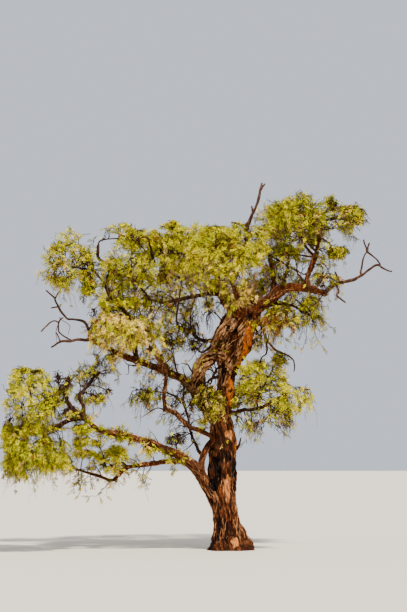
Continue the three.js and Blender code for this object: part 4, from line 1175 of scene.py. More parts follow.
bare_stretches = [
    Stretch(way, foot, foot * BARE_TIP, number) for number, (foot, way) in enumerate(BARE_TWIGS)
]
slender = thin_piece("slender_limbs_bark", SLENDER_LIMBS, thin_bark_paint, bare_stretches)
dead = thin_piece("dead_limbs_wood", DEAD_LIMBS, dead_paint)

# %% [markdown]
# ## Peeling bark
# On the oldest wood the bark comes off in narrow strips. Each strip starts on a real corner of
# the carved skin, steps along the limb and is drawn back halfway to the skin at every step, so it
# follows the relief. Only its end may lift off. Most strips are brown, and a pale kind lies on
# the twisted wood of the left side.

# %% Strips of bark
@dataclass
class Strips:
    """Strips on the skin between two corners of a box: how many, how long at most, how turned."""
    piece: object
    spine: Spine
    low: tuple
    high: tuple
    count: int
    longest: float
    turn: float
    pale: bool = False


STRIP_STEPS = 8
STRIP_FEET = {"peeling_bark": 0.011, "pale_strips": 0.018}
STRIP_TIP = 0.005
STRIP_RISE = 0.004
STRIP_PEEL = 0.03
STRIP_SIDES = 5
STRIP_CLUSTERS = (9, 9, 3)
FROM_CLUSTER = 0.47  # strips start only where the clusters' noise is above this
UP_TO_WORN = 0.2  # and only where the wood is less burnt or bare than this


def strips_on(strips, random):
    """Ways that follow the skin of a piece along its limbs."""
    skin = vertex_values(strips.piece, "co")
    normals = vertex_values(strips.piece, "normal")
    finder = finder_of(skin)
    guide = finder_of(strips.spine.points)
    marks = np.empty(len(skin) * 4)
    strips.piece.data.attributes["marks"].data.foreach_get("color", marks)
    worn = marks.reshape(-1, 4)[:, 1:3].max(1)
    clusters = rough_noise(skin * STRIP_CLUSTERS, SEEDS["strips"], 2)
    inside = ((skin > strips.low) & (skin < strips.high)).all(1)
    within = np.flatnonzero(inside & (worn < UP_TO_WORN) & (clusters > FROM_CLUSTER))
    here = random.choice(within, strips.count, replace=False)
    step = (strips.longest * random.uniform(0.3, 1.0, strips.count) / STRIP_STEPS)[:, None]
    turn = strips.turn + random.normal(0, 0.25, (strips.count, 1))
    ways = [skin[here] + normals[here] * STRIP_RISE]
    for _ in range(STRIP_STEPS - 1):
        along = strips.spine.ahead[[guide.find(point)[1] for point in skin[here]]]
        heading = unit(along + np.cross(along, normals[here]) * turn)
        wanted = skin[here] + heading * step
        here = np.array([finder.find(point)[1] for point in wanted])
        ways.append(0.5 * wanted + 0.5 * skin[here] + normals[here] * STRIP_RISE)
    peel = normals[here] * (STRIP_PEEL * random.random((strips.count, 1)) ** 3)
    ways[-1] = ways[-1] + peel
    return np.stack(ways, 1)


STRIP_PLACES = [
    Strips(trunk, trunk_spine, (-1, -1, 3.0), (1, 1, 4.6), 320, 0.5, 0.25),
    Strips(trunk, trunk_spine, (-1, -1, 0.1), (1, 1, 3.0), 170, 0.45, 0.15),
    Strips(heavy, heavy_spine, (-0.75, -0.5, 0.4), (0.1, 0.3, 1.7), 110, 0.4, 0.1),
    Strips(heavy, heavy_spine, (0.2, -1, 4.2), (1.9, 1, 5.6), 140, 0.4, 0.2),
    Strips(heavy, heavy_spine, (-2.4, -1, 1.4), (-0.6, 0.4, 4.2), 260, 0.35, 0.2),
    Strips(trunk, trunk_spine, (-0.5, -0.6, 3.1), (0.2, 0, 4.4), 230, 0.5, 0.3, True),
    Strips(heavy, heavy_spine, (-0.8, -0.4, 3.0), (0, 0.4, 3.9), 170, 0.5, 0.35, True),
]
STRIP_PAINTS = {
    "peeling_bark": wood_paint(
        "peeling bark", tone(40, 18, 8), tone(132, 82, 44), tone(232, 178, 122), tone(96, 60, 34), 0.4
    ),
    "pale_strips": wood_paint(
        "pale peeling bark", tone(60, 32, 16), tone(190, 136, 86), tone(250, 206, 154),
        tone(150, 104, 66), 0.4,
    ),
}
strip_random = np.random.default_rng(7)
strip_pieces = []
for name, paint in STRIP_PAINTS.items():
    chosen = [place for place in STRIP_PLACES if place.pale == (name == "pale_strips")]
    strip_ways = np.concatenate([strips_on(place, strip_random) for place in chosen])
    strip_tubes = tubes_along(strip_ways, STRIP_FEET[name], STRIP_TIP, STRIP_SIDES)
    strips_piece = piece_from(name, *strip_tubes, paint)
    store_marks(strips_piece, np.zeros((len(strips_piece.data.vertices), 4)))
    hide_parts("trunk", *HEAVY_LIMBS)
    strip_pieces.append(strips_piece)
print("the strips have", [triangles_in(piece) for piece in strip_pieces], "triangles")

# %% [markdown]
# ## The masses of foliage
# In the plain model each mass keeps to its own space: a round of its own half sizes, cut off
# halfway to its neighbours. The same spaces are used here. A stem runs in from a limb, twigs part
# from it to points spread over the skin of the space, and sprays part from the twigs. The growth
# is only carried further, to twiglets and single leaves, so the crown keeps the reach of the
# plain model but is open where the sky shows.

# %% The spaces and stems
@dataclass
class Mass:
    """A mass of foliage: its space, the way and half width of its stem, its twigs and its looks."""
    middle: tuple
    half: tuple
    stem: list
    thick: float
    twigs: int
    hang: float
    mix: str
    leafy: float
    fringe: float


MASSES = {
    "upper_left": {
        "crown_left_lobe": Mass((-3.14, 0.25, 5.55), (0.65, 0.82, 0.68), [(-2.4, 0.455, 5.12),
            (-2.56, 0.42, 5.3), (-2.68, 0.36, 5.41)], 0.026, 9, 0.15, "fresh", 0.95, 0.4),
        "crown_left_wisp": Mass((-2.08, 0.35, 6.08), (0.52, 0.54, 0.3), [(-2.568, 0.431, 5.87),
            (-2.5, 0.41, 6.01)], 0.016, 5, 0, "fresh", 0.8, 0.1),
        "crown_left_core": Mass((-1.86, -0.55, 5.24), (0.66, 0.74, 0.64), [(-1.46, -0.665, 4.69)], 0.022,
            7, 0.2, "deep", 0.9, 0.45),
        "straw_skirt": Mass((-1.84, -0.45, 4.08), (0.93, 0.8, 0.66), [(-1.44, -0.37, 3.74)], 0.022, 8,
            0.6, "dry", 0.95, 0.3),
        "back_left_crown": Mass((-1.78, 1.5, 4.82), (0.93, 0.9, 0.98), [(-1.585, 1.25, 4.175)], 0.026, 8,
            0.3, "fresh", 0.9, 0.6),
    },
    "upper_middle": {
        "crown_mid_left": Mass((-0.96, -0.35, 5.7), (0.8, 0.9, 0.56), [(-0.385, -0.355, 5.59)], 0.022, 9,
            0.1, "fresh", 1, 0.8),
        "crown_centre": Mass((0.3, -0.15, 5.83), (0.68, 0.9, 0.48), [(0.175, -0.13, 5.39)], 0.026, 8, 0.1,
            "fresh", 1, 0.5),
        "brown_tuft": Mass((-0.92, -0.15, 4.82), (0.41, 0.58, 0.55), [(-0.93, -0.37, 4.21),
            (-1, -0.33, 4.38)], 0.022, 4, 0.4, "dry", 0.5, 0.8),
        "fork_tuft": Mass((0.32, 0.55, 5.04), (0.43, 0.48, 0.43), [(0.39, 0.06, 4.44), (0.4, 0.3, 4.72)],
            0.022, 4, 0.3, "pale", 1, 0.2),
        "back_centre_crown": Mass((-0.43, 1.5, 5.87), (1.16, 0.95, 0.63), [(-0.17, 1.155, 5.25)], 0.032,
            8, 0.1, "fresh", 0.95, 0.8),
        "front_crown": Mass((-0.14, -1.45, 5.4), (0.79, 0.8, 0.51), [(0.055, -1.15, 4.915)], 0.026, 6,
            0.2, "fresh", 0.9, 0.7),
    },
    "upper_right": {
        "crown_right_dome": Mass((1.44, 0.1, 6.33), (0.86, 1.01, 0.67), [(1.67, -0.16, 5.6),
            (1.54, -0.06, 5.76), (1.43, 0.02, 5.95)], 0.03, 11, 0.1, "deep", 0.95, 0.4),
        "crown_right_tip": Mass((2.32, -0.15, 6.31), (0.47, 0.64, 0.42), [(1.79, -0.085, 6.2),
            (1.93, -0.1, 6.33)], 0.026, 6, 0.5, "dull", 0.8, 0.35),
        "crown_right_inner": Mass((1.32, 0.38, 5.47), (0.68, 0.6, 0.5), [(0.775, 0.16, 5.7)], 0.026, 4,
            0.2, "deep", 0.5, 0.4),
        "right_weep": Mass((1.42, 0.35, 4.56), (0.61, 0.64, 0.49), [(1.64, 0.29, 4.45)], 0.018, 6, 0.8,
            "fresh", 0.6, 0.55),
        "rusty_tuft": Mass((0.95, -0.52, 4.17), (0.42, 0.48, 0.34), [(1.08, -0.545, 4.3)], 0.018, 4, 0.6,
            "rusty", 0.7, 0.4),
        "back_right_crown": Mass((1.29, 1.5, 6.47), (0.79, 0.8, 0.63), [(1.21, 1.06, 5.49),
            (1.25, 1.25, 5.81)], 0.026, 7, 0.1, "deep", 0.9, 0.4),
    },
    "lower_left": {
        "far_left_spray": Mass((-3.66, -0.75, 2.8), (0.7, 0.9, 0.73), [(-2.8, -0.815, 2.51),
            (-3.01, -0.8, 2.74), (-3.2, -0.78, 2.78)], 0.03, 9, 0.1, "fresh", 1, 0.5),
        "far_left_sparse": Mass((-2.64, -0.01, 3.3), (0.52, 0.72, 0.48), [(-2.69, -0.805, 2.45),
            (-2.75, -0.6, 2.67), (-2.82, -0.4, 2.89), (-2.73, -0.2, 3.07)], 0.024, 5, 0.1, "sparse", 0.45,
            0.5),
        "far_left_weep": Mass((-3.58, -0.85, 1.83), (0.76, 0.8, 0.6), [(-2.79, -0.815, 2.5),
            (-3.04, -0.83, 2.38), (-3.25, -0.84, 2.25)], 0.02, 9, 0.8, "deep", 1, 0.4),
        "left_shoot_tuft": Mass((-2.71, -0.6, 2.02), (0.32, 0.37, 0.24), [(-2.64, -0.8, 2.415),
            (-2.7, -0.7, 2.24), (-2.68, -0.64, 2.13)], 0.016, 3, 0.5, "fresh", 0.7, 0.35),
        "low_left_ball": Mass((-2.25, 0.32, 1.64), (0.4, 0.42, 0.36), [(-1.93, 0.285, 1.55),
            (-2.06, 0.3, 1.65)], 0.018, 5, 0.3, "fresh", 1, 0.25),
        "far_left_low": Mass((-3.21, 0.5, 1.6), (0.34, 0.45, 0.3), [(-2.93, 0.447, 1.51)], 0.022, 4, 0.4,
            "fresh", 1, 0.25),
        "inner_weep": Mass((-1.6, 0.35, 2.92), (0.47, 0.48, 0.36), [(-1.17, 0.325, 2.995)], 0.015, 4, 0.8,
            "sparse", 0.4, 0.45),
        "arm_weep": Mass((-1.09, -0.05, 3.88), (0.31, 0.37, 0.44), [(-0.96, 0.25, 3.29),
            (-1.04, 0.12, 3.56)], 0.018, 3, 0.6, "dry", 0.5, 0.4),
    },
    "lower_right": {
        "low_right_tuft": Mass((0.68, -0.2, 3.19), (0.58, 0.64, 0.56), [(0.55, -0.425, 2.675),
            (0.53, -0.35, 2.83)], 0.018, 6, 0.2, "fresh", 0.85, 0.4),
        "low_right_end": Mass((1.25, -0.75, 2.84), (0.42, 0.53, 0.36), [(1, -0.625, 2.91)], 0.016, 4, 0.4,
            "fresh", 0.8, 0.4),
        "low_right_weep": Mass((0.73, -0.44, 2.38), (0.53, 0.47, 0.35), [(0.73, -0.5, 2.755),
            (0.85, -0.49, 2.66)], 0.014, 4, 0.9, "sparse", 0.3, 0.3),
        "trunk_tuft": Mass((-0.34, -0.38, 2.72), (0.41, 0.29, 0.44), [(-0.12, -0.04, 2.61),
            (-0.24, -0.3, 2.8)], 0.018, 4, 0.3, "dull", 0.8, 0.4),
        "back_low_tuft": Mass((0.67, 0.85, 3.06), (0.58, 0.53, 0.39), [(-0.09, 0.01, 2.6),
            (0.19, 0.35, 2.78)], 0.02, 5, 0.3, "fresh", 0.9, 0.4),
    },
}
EVERY_MASS = {name: mass for masses in MASSES.values() for name, mass in masses.items()}
MASS_GAP = 0.004
BOX_MARGIN = np.array([0.09, 0.02, 0.03])
RAGGEDNESS = 3.4  # lumps of a ragged skin in a metre
DRAWN_IN = 0.66  # how far in the skin is drawn at most


def in_box(points):
    """Whether points lie within the plain model's own box, or hardly past it."""
    return ((points > cad_low - BOX_MARGIN) & (points < cad_high + BOX_MARGIN)).all(-1)


class Space:
    """Where a mass may grow: its own round, as far as the halfway planes to its neighbours."""

    def __init__(self, mass, others):
        self.middle = np.array(mass.middle)
        self.half = np.array(mass.half)
        away = np.array([other.middle for other in others]).reshape(-1, 3) - self.middle
        distance = np.linalg.norm(away, axis=1)
        self.normals = away / distance[:, None]
        own = np.linalg.norm(self.normals * self.half, axis=1)
        their_halves = np.array([other.half for other in others]).reshape(-1, 3)
        theirs = np.linalg.norm(self.normals * their_halves, axis=1)
        self.limits = distance * own / (own + theirs) - MASS_GAP

    def reach(self, directions):
        """How far a unit step in each direction goes before it leaves the space."""
        round_reach = 1 / np.linalg.norm(directions / self.half, axis=-1)
        facing = directions @ self.normals.T
        plane_reach = np.where(facing > 1e-6, self.limits / np.maximum(facing, 1e-6), np.inf)
        return np.minimum(round_reach, plane_reach.min(-1, initial=np.inf))

    def share(self, points):
        """How far out points lie: 0 in the middle, 1 on the skin of the space."""
        offset = points - self.middle
        distance = np.linalg.norm(offset, axis=-1)
        return distance / self.reach(offset / np.maximum(distance, 1e-9)[..., None])

    def ragged_share(self, points):
        """The same, but the skin is drawn in here and there, so that the outline isn't round."""
        lumps = rough_noise(points.reshape(-1, 3) * RAGGEDNESS, SEEDS["skins"], 2)
        skin = np.clip(DRAWN_IN + 1.1 * (lumps.reshape(points.shape[:-1]) - 0.3), DRAWN_IN, 1.04)
        return self.share(points) / skin


print(len(EVERY_MASS), "masses have a space of their own")

# %% [markdown]
# ## Loose tufts and openings
# Between the masses the crown has small tufts too, each on a shoot from the nearest living wood.
# And it has openings where the sky comes through. An opening is a place on an upright plane
# through the crown. What grows there is cut back from front to back, and sprays in front of a few
# limbs that should show are cut back too.

# %% Loose tufts
LOOSE_STEM = 0.01


def loose(middle, half, *looks):
    """A small mass with a thin stem. Its way is found later, from the nearest wood."""
    return Mass(middle, half, [], LOOSE_STEM, *looks)


LOOSE_TUFTS = {
    "upper_left": {
        "gap_shoots": loose((-2.75, 0.3, 5.36), (0.24, 0.4, 0.51), 8, 0.3, "fresh", 0.7, 0.3),
        "skirt_left": loose((-2.58, -0.3, 4.4), (0.15, 0.4, 0.25), 5, 0.5, "dry", 0.9, 0.3),
        "skirt_foot": loose((-2.24, -0.4, 3.61), (0.13, 0.4, 0.13), 6, 0.6, "dry", 0.8, 0.3),
        "core_shoots": loose((-2.24, 0, 5.36), (0.33, 0.4, 0.33), 8, 0.2, "fresh", 0.9, 0.3),
        "skirt_crest": loose((-2.03, -0.5, 4.65), (0.46, 0.5, 0.19), 6, 0.2, "fresh", 0.8, 0.0),
        "skirt_shoulder": loose((-1.58, -0.4, 4.7), (0.15, 0.4, 0.17), 4, 0.2, "fresh", 0.8, 0.1),
    },
    "upper_middle": {
        "left_top_shoots": loose((-1.09, -0.3, 6.16), (0.27, 0.5, 0.13), 5, 0.0, "fresh", 1.0, 0.0),
        "mid_top_shoots": loose((-0.28, -0.4, 6.03), (0.42, 0.6, 0.13), 6, 0.0, "fresh", 1.0, 0.0),
        "mid_gap_shoots": loose((-0.65, -0.3, 5.09), (0.17, 0.4, 0.17), 3, 0.2, "fresh", 0.7, 0.3),
        "loop_crest": loose((-0.63, -0.2, 3.89), (0.23, 0.3, 0.19), 7, 0.3, "dull", 0.1, 0.3),
        "mid_low_twigs": loose((-1.21, -0.2, 5.22), (0.25, 0.5, 0.27), 5, 0.4, "dull", 0.6, 0.6),
        "inner_twigs": loose((-0.74, -0.1, 4.34), (0.25, 0.5, 0.39), 5, 0.6, "dull", 0.15, 0.6),
        "trunk_side_twigs": loose((-0.4, -0.35, 4.51), (0.17, 0.3, 0.5), 6, 0.6, "dull", 0.12, 0.5),
        "fork_straw": loose((0.33, -0.75, 4.73), (0.3, 0.25, 0.26), 16, 0.1, "pale", 1.7, 0.0),
        "fork_shoots": loose((-0.32, -0.5, 4.95), (0.27, 0.4, 0.19), 6, 0.3, "fresh", 0.5, 0.4),
        "loop_left_twigs": loose((-1.09, -0.2, 3.93), (0.34, 0.3, 0.11), 8, 0.3, "dull", 0.15, 0.3),
    },
    "upper_right": {
        "upright_shoots": loose((0.73, 0.1, 5.16), (0.16, 0.35, 0.31), 5, 0.2, "deep", 0.7, 0.3),
        "dome_skirt": loose((2.07, -0.2, 5.69), (0.31, 0.4, 0.17), 9, 0.3, "dull", 0.7, 0.4),
        "dome_inner_shoots": loose((1.05, -0.1, 5.66), (0.33, 0.4, 0.23), 7, 0.3, "deep", 0.8, 0.4),
        "bough_shoots": loose((1.84, -0.3, 5.11), (0.38, 0.4, 0.19), 4, 0.5, "sparse", 0.35, 0.4),
        "dome_shoots": loose((2, 0, 6.62), (0.18, 0.4, 0.25), 4, 0.1, "deep", 0.9, 0.0),
        "trunk_right_twigs": loose((0.57, 0.15, 4.05), (0.16, 0.3, 0.27), 4, 0.5, "rusty", 0.25, 0.5),
        "weep_shoots": loose((0.87, 0.2, 4.57), (0.23, 0.4, 0.19), 5, 0.4, "dry", 0.6, 0.3),
    },
    "lower_left": {
        "far_left_heart": loose((-3.04, -0.9, 3.03), (0.19, 0.3, 0.24), 6, 0.6, "sparse", 0.12, 0.8),
        "far_left_hang": loose((-3.34, -0.9, 2.73), (0.22, 0.3, 0.24), 7, 0.8, "sparse", 0.12, 0.9),
        "sparse_shoots": loose((-2.59, -0.3, 2.87), (0.36, 0.4, 0.15), 6, 0.5, "sparse", 0.5, 0.4),
        "sparse_end": loose((-2.31, -0.2, 2.97), (0.11, 0.4, 0.11), 3, 0.4, "sparse", 0.6, 0.4),
        "weep_crest": loose((-3.53, -0.8, 2.25), (0.56, 0.6, 0.15), 7, 0.3, "fresh", 0.7, 0.0),
        "bough_crest": loose((-2.74, -0.7, 2.26), (0.22, 0.4, 0.13), 5, 0.3, "fresh", 0.6, 0.3),
        "low_shoots": loose((-3.49, 0.1, 2.02), (0.17, 0.4, 0.13), 4, 0.3, "fresh", 0.8, 0.2),
        "low_bough_shoots": loose((-2.79, 0.2, 1.81), (0.27, 0.4, 0.12), 4, 0.3, "fresh", 0.8, 0.2),
        "ball_crest": loose((-2.52, 0.2, 2.01), (0.15, 0.3, 0.12), 3, 0.1, "fresh", 0.8, 0.0),
        "spray_crest": loose((-3.8, -0.7, 3.36), (0.3, 0.5, 0.09), 4, 0.1, "fresh", 0.9, 0.0),
        "far_left_crest": loose((-3.2, -0.8, 3.22), (0.17, 0.3, 0.17), 5, 0.2, "sparse", 0.6, 0.2),
        "spray_foot": loose((-3, -0.75, 2.59), (0.22, 0.4, 0.17), 6, 0.5, "sparse", 0.5, 0.5),
        "far_low_twigs": loose((-4.12, -0.7, 2.29), (0.15, 0.5, 0.28), 7, 0.4, "fresh", 0.8, 0.4),
        "inner_weep_crest": loose((-1.68, 0.3, 2.92), (0.23, 0.4, 0.16), 4, 0.5, "sparse", 0.3, 0.4),
        "arch_twigs": loose((-0.97, -0.25, 2.06), (0.27, 0.3, 0.17), 6, 0.5, "sparse", 0.1, 0.2),
        "weep_left": loose((-0.7, -0.4, 2.73), (0.11, 0.25, 0.25), 5, 0.6, "dull", 0.6, 0.4),
        "crook_twigs": loose((-0.86, 0, 2.88), (0.23, 0.4, 0.27), 3, 0.4, "sparse", 0.15, 0.3),
    },
    "lower_right": {
        "low_right_crest": loose((0.98, -0.25, 3.58), (0.25, 0.4, 0.21), 7, 0.3, "sparse", 0.5, 0.3),
        "trunk_weep": loose((-0.36, -0.45, 2.75), (0.32, 0.2, 0.38), 14, 0.6, "faded", 1.0, 0.4),
        "bough_weep": loose((0.13, -0.3, 2.79), (0.13, 0.3, 0.21), 3, 0.8, "sparse", 0.4, 0.3),
    },
}
print(sum(map(len, LOOSE_TUFTS.values())), "loose tufts stand between the masses")

# %% Openings
SIGHT_PLANE = -0.3  # how far back the upright plane stands
OPENINGS = [  # middle and half sizes, x and z each
    (-1.71, 6.18, 0.15, 0.06), (-1.85, 3.63, 0.17, 0.08), (-3.37, 3.44, 0.15, 0.08),
    (2.53, 6.08, 0.13, 0.12), (-2.69, 3.61, 0.15, 0.1), (-1.94, 3.44, 0.15, 0.11),
    (-2.26, 3.21, 0.1, 0.1), (-2.99, 3.48, 0.15, 0.1), (-1.31, 2.74, 0.11, 0.06),
    (-1.77, 3.08, 0.11, 0.08), (-1.07, 3.1, 0.1, 0.1), (0.81, 2.26, 0.17, 0.13),
    (1.66, 3.1, 0.08, 0.13), (2.06, 6, 0.12, 0.08), (1.11, 4.13, 0.1, 0.08),
    (1.53, 4.15, 0.08, 0.06), (1.41, 3.19, 0.25, 0.1), (0.42, 3.67, 0.1, 0.11),
    (0.17, 4.48, 0.17, 0.13), (-2.89, 5.05, 0.1, 0.06), (-2.78, 5.87, 0.15, 0.08),
    (-2.4, 5.75, 0.12, 0.12), (-2.28, 5.96, 0.12, 0.1), (-2.13, 6.31, 0.27, 0.08),
    (2.26, 6.63, 0.17, 0.05), (1.72, 6.72, 0.1, 0.06), (-4.36, 3.06, 0.15, 0.23),
    (-4.34, 1.83, 0.09, 0.08), (-2.41, 2.38, 0.23, 0.06), (-2.11, 2.38, 0.15, 0.08),
    (-1.61, 2.19, 0.17, 0.08), (-2.6, 4.51, 0.1, 0.08), (-0.46, 2.11, 0.09, 0.11),
    (-3.21, 2.21, 0.08, 0.06), (-0.93, 2.66, 0.08, 0.08), (-0.95, 3.65, 0.11, 0.11),
    (-0.4, 4.4, 0.11, 0.15), (1.5, 5.32, 0.13, 0.12),
]
SHOWN_LIMBS = [  # the limb, how far beside it is cleared, and the lowest height to clear
    ("black_limb", 0.03, 4.6), ("left_reach", 0.045, 0), ("right_top_limb", 0.05, 0),
    ("right_mid_limb", 0.045, 0), ("middle_left_limb", 0.045, 0),
]
OPENING_EDGE = 9.0
OPENING_LEAST = 0.6  # the share of its size that an opening has at its narrowest
OPENING_RAGGED = 0.8
CLEAR_LEAST = 0.5
SHOWN_POINTS = 60


def seen_at(points):
    """Where points appear from the front, as x and z on the upright plane."""
    eye = np.array(camera.location)
    share = (SIGHT_PLANE - eye[1]) / (points[..., 1] - eye[1])
    return (eye + (points - eye) * share[..., None])[..., [0, 2]]


def hides_limb(points, name, clear, lowest):
    """Whether points lie in front of a limb that should show, or hardly beside it."""
    way = smooth_way(LIMBS[name].way, SHOWN_POINTS)
    way = way[way[:, 2] > lowest]
    away = np.linalg.norm(seen_at(points)[:, None] - seen_at(way)[None], axis=2)
    nearest = away.argmin(1)
    return (away.min(1) < clear) & (points[:, 1] < way[nearest, 1])


def edge_at(flat):
    """A value from 0 to 1 that makes the edges of openings ragged."""
    return rough_noise(np.insert(seen_at(flat), 1, 0, axis=1) * OPENING_EDGE, SEEDS["openings"], 2)


def in_opening(points):
    """Whether points lie in an opening."""
    flat = points.reshape(-1, 3)
    places = np.array([row[:2] for row in OPENINGS])
    halves = np.array([row[2:] for row in OPENINGS])
    distance = np.linalg.norm((seen_at(flat)[:, None] - places) / halves, axis=2).min(1)
    return (distance < OPENING_LEAST + OPENING_RAGGED * edge_at(flat)).reshape(points.shape[:-1])


def to_cut(points):
    """Whether points lie in an opening or hide a limb that should show."""
    flat = points.reshape(-1, 3)
    cut = in_opening(flat)
    for name, clear, lowest in SHOWN_LIMBS:
        cut |= hides_limb(flat, name, clear * (CLEAR_LEAST + edge_at(flat)), lowest)
    return cut.reshape(points.shape[:-1])


print(len(OPENINGS), "openings let the sky through")

# %% [markdown]
# ## Growth
# Every order of twig is worked out for a whole mass at once, as arrays of curves. A spray leaves
# its twig at a golden angle from the one before, which never repeats and so leaves no gaps in
# line. The hang of a mass bends its sprays down, from upright shoots to a curtain.

# %% Curves in bulk
GOLDEN_ANGLE = math.pi * (3 - math.sqrt(5))


def leaving(parents, places, angle, opening):
    """Starts and directions of side twigs that leave many curves at places along them."""
    ahead, side, face = across_ways(parents)
    low = np.minimum(places.astype(int), parents.shape[1] - 2)
    rest = (places - low)[None, :, None]
    starts = parents[:, low] * (1 - rest) + parents[:, low + 1] * rest
    across = side[:, low] * np.cos(angle)[..., None] + face[:, low] * np.sin(angle)[..., None]
    directions = ahead[:, low] * np.cos(opening)[..., None] + across * np.sin(opening)[..., None]
    return starts.reshape(-1, 3), directions.reshape(-1, 3)


def falling_ways(starts, directions, length, droop, part):
    """Curves that set out in their directions and fall by their droop on the way."""
    ahead = directions[:, None] * (length[:, None] * part)[..., None]
    fall = DOWN * (droop[:, None] * part**2)[..., None]
    return starts[:, None] + ahead + fall


print("side twigs turn by", round(math.degrees(GOLDEN_ANGLE), 1), "degrees")

# %% Stems and twigs
STEM_PAST = 0.42  # how far the stem goes past the middle, in half sizes
STEM_HIGH = 0.35  # how high it passes in a hanging mass, in half heights
STEM_LOW = -0.12  # and in a standing one
STANDING = 0.35  # the hang up to which a mass counts as standing
STEM_POINTS = 22
BARE_POINTS = 3  # at the foot of the stem, which don't count as near to a twig's end
FAN = 1.75  # 2 would spread the twigs over the whole skin
TWIGS_FOR_ONE = 3.6  # twigs for each one in the row of a mass
TWIG_POINTS = 10
TWIG_WOBBLE = 0.014
TWIG_BEND = 0.12
ARCH = 0.1  # how far a twig arches up, as a share of its reach
HANG_ARCH = 0.3  # and how much more of it in a hanging mass
FURTHEST_OUT = 0.97  # where the longest twigs end, as a share of the space
END_SPREAD = 0.3
FULL_SIZE = 0.56
SMALLEST_SCALE = 0.62
LARGEST_SCALE = 1.15


def stem_of(mass):
    """The stem's own way on from its limb, through the middle of the mass and a little past it."""
    half = np.array(mass.half)
    lift = half[2] * (STEM_HIGH if mass.hang > STANDING else STEM_LOW)
    middle = np.array(mass.middle) + (0, 0, lift)
    past = middle + unit(middle - mass.stem[-1]) * half * STEM_PAST
    return smooth_way([*mass.stem, middle, past], STEM_POINTS)


NEAREST_ROOT = 0.12  # the wood nearer to a tuft's middle than this doesn't count
ROOT_RISE = 0.15
ROOT_POINTS = 60
ROOTLESS_POINTS = 8  # at the foot of each limb, where no tuft starts
carrying = [TRUNK_WAY, *(limb.way for name, limb in LIMBS.items() if name not in DEAD_LIMBS)]
root_places = np.concatenate(
    [smooth_way(way, ROOT_POINTS)[ROOTLESS_POINTS:] for way in carrying]
    + [stem_of(mass) for mass in EVERY_MASS.values()]
)


def rooted(tuft):
    """The tuft with a stem that rises from the nearest point on living wood."""
    middle = np.array(tuft.middle)
    distance = np.linalg.norm(root_places - middle, axis=1)
    root = root_places[np.where(distance < NEAREST_ROOT, np.inf, distance).argmin()]
    bend = (root + middle) / 2 + UP * ROOT_RISE * np.linalg.norm(root - middle)
    return replace(tuft, stem=[tuple(root), tuple(bend)])


def size_scale(mass):
    """How long the sprays of a mass are for its size, within limits."""
    return float(np.clip(np.prod(mass.half) ** (1 / 3) / FULL_SIZE, SMALLEST_SCALE, LARGEST_SCALE))


def skin_points(mass, space, random):
    """Points spread over the skin of the space, mostly at the end it grows towards."""
    growth = unit(unit(space.middle - mass.stem[0]) - (0, 0, mass.hang))
    side = unit(np.cross(UP, growth))
    face = np.cross(growth, side)
    count = round(TWIGS_FOR_ONE * mass.twigs)
    index = np.arange(count)
    level = 1 - FAN * (index + random.random(count)) / count
    ring = np.sqrt(1 - level**2)
    angle = index * GOLDEN_ANGLE + random.random()
    across = side * np.cos(angle)[:, None] + face * np.sin(angle)[:, None]
    directions = unit((growth * level[:, None] + across * ring[:, None]) * space.half)
    share = FURTHEST_OUT - END_SPREAD * random.random(count) ** 2
    return space.middle + directions * (space.reach(directions) * share)[:, None]


def twigs_of(mass, space, stem, random):
    """Arching twigs from the stem, each ending near the skin of the space."""
    ends = skin_points(mass, space, random)
    away = np.linalg.norm(stem[None] - ends[:, None], axis=2)
    nearest = away[:, BARE_POINTS:].argmin(1) + BARE_POINTS
    starts = stem[nearest - random.integers(0, 3, len(ends))]
    reach = np.linalg.norm(ends - starts, axis=1)[:, None]
    bends = starts * 0.45 + ends * 0.55 + UP * reach * (ARCH + HANG_ARCH * mass.hang)
    bends += random.normal(0, TWIG_BEND, ends.shape) * reach
    part = np.linspace(0, 1, TWIG_POINTS)[:, None]
    to_bend = starts[:, None] * (1 - part) ** 2 + 2 * bends[:, None] * part * (1 - part)
    ways = to_bend + ends[:, None] * part**2
    wobble = random.normal(0, TWIG_WOBBLE, ways.shape)
    wobble[:, 0] = 0
    return ways + wobble


print(len(root_places), "places on living wood can carry a tuft")

# %% Sprays and twiglets
SPRAYS_ON_TWIG = 13
FIRST_SPRAY = 3  # the point of the twig where it leaves
SPRAY_LENGTH = 0.5
SPRAY_SPREAD = (0.5, 1.1)
SPRAY_TURN = 0.3
SPRAY_POINTS = 5
SPRAY_WOBBLE = 0.008
DROOP = 0.12  # how far a spray falls, as a share of its length
HANG_DROOP = 0.6
OPENING = 1.05  # the angle between a spray and its twig, in radians
LAST_OPENING = 0.2  # and that of the last spray, at the twig's tip
LEAN_OUT = 0.45
LEAN_DOWN = 0.5
SHORTEST_KEPT = 0.4  # sprays cut shorter than this share are left out
TWIGLETS_ON_SPRAY = 11
TWIGLET_LENGTH = 0.15
TWIGLET_SPREAD = (0.55, 1.25)
TWIGLET_OPENING = (0.5, 1.15)
TWIGLET_TILT = 0.45
FIRST_TWIGLET = 0.22  # how far along the spray it leaves


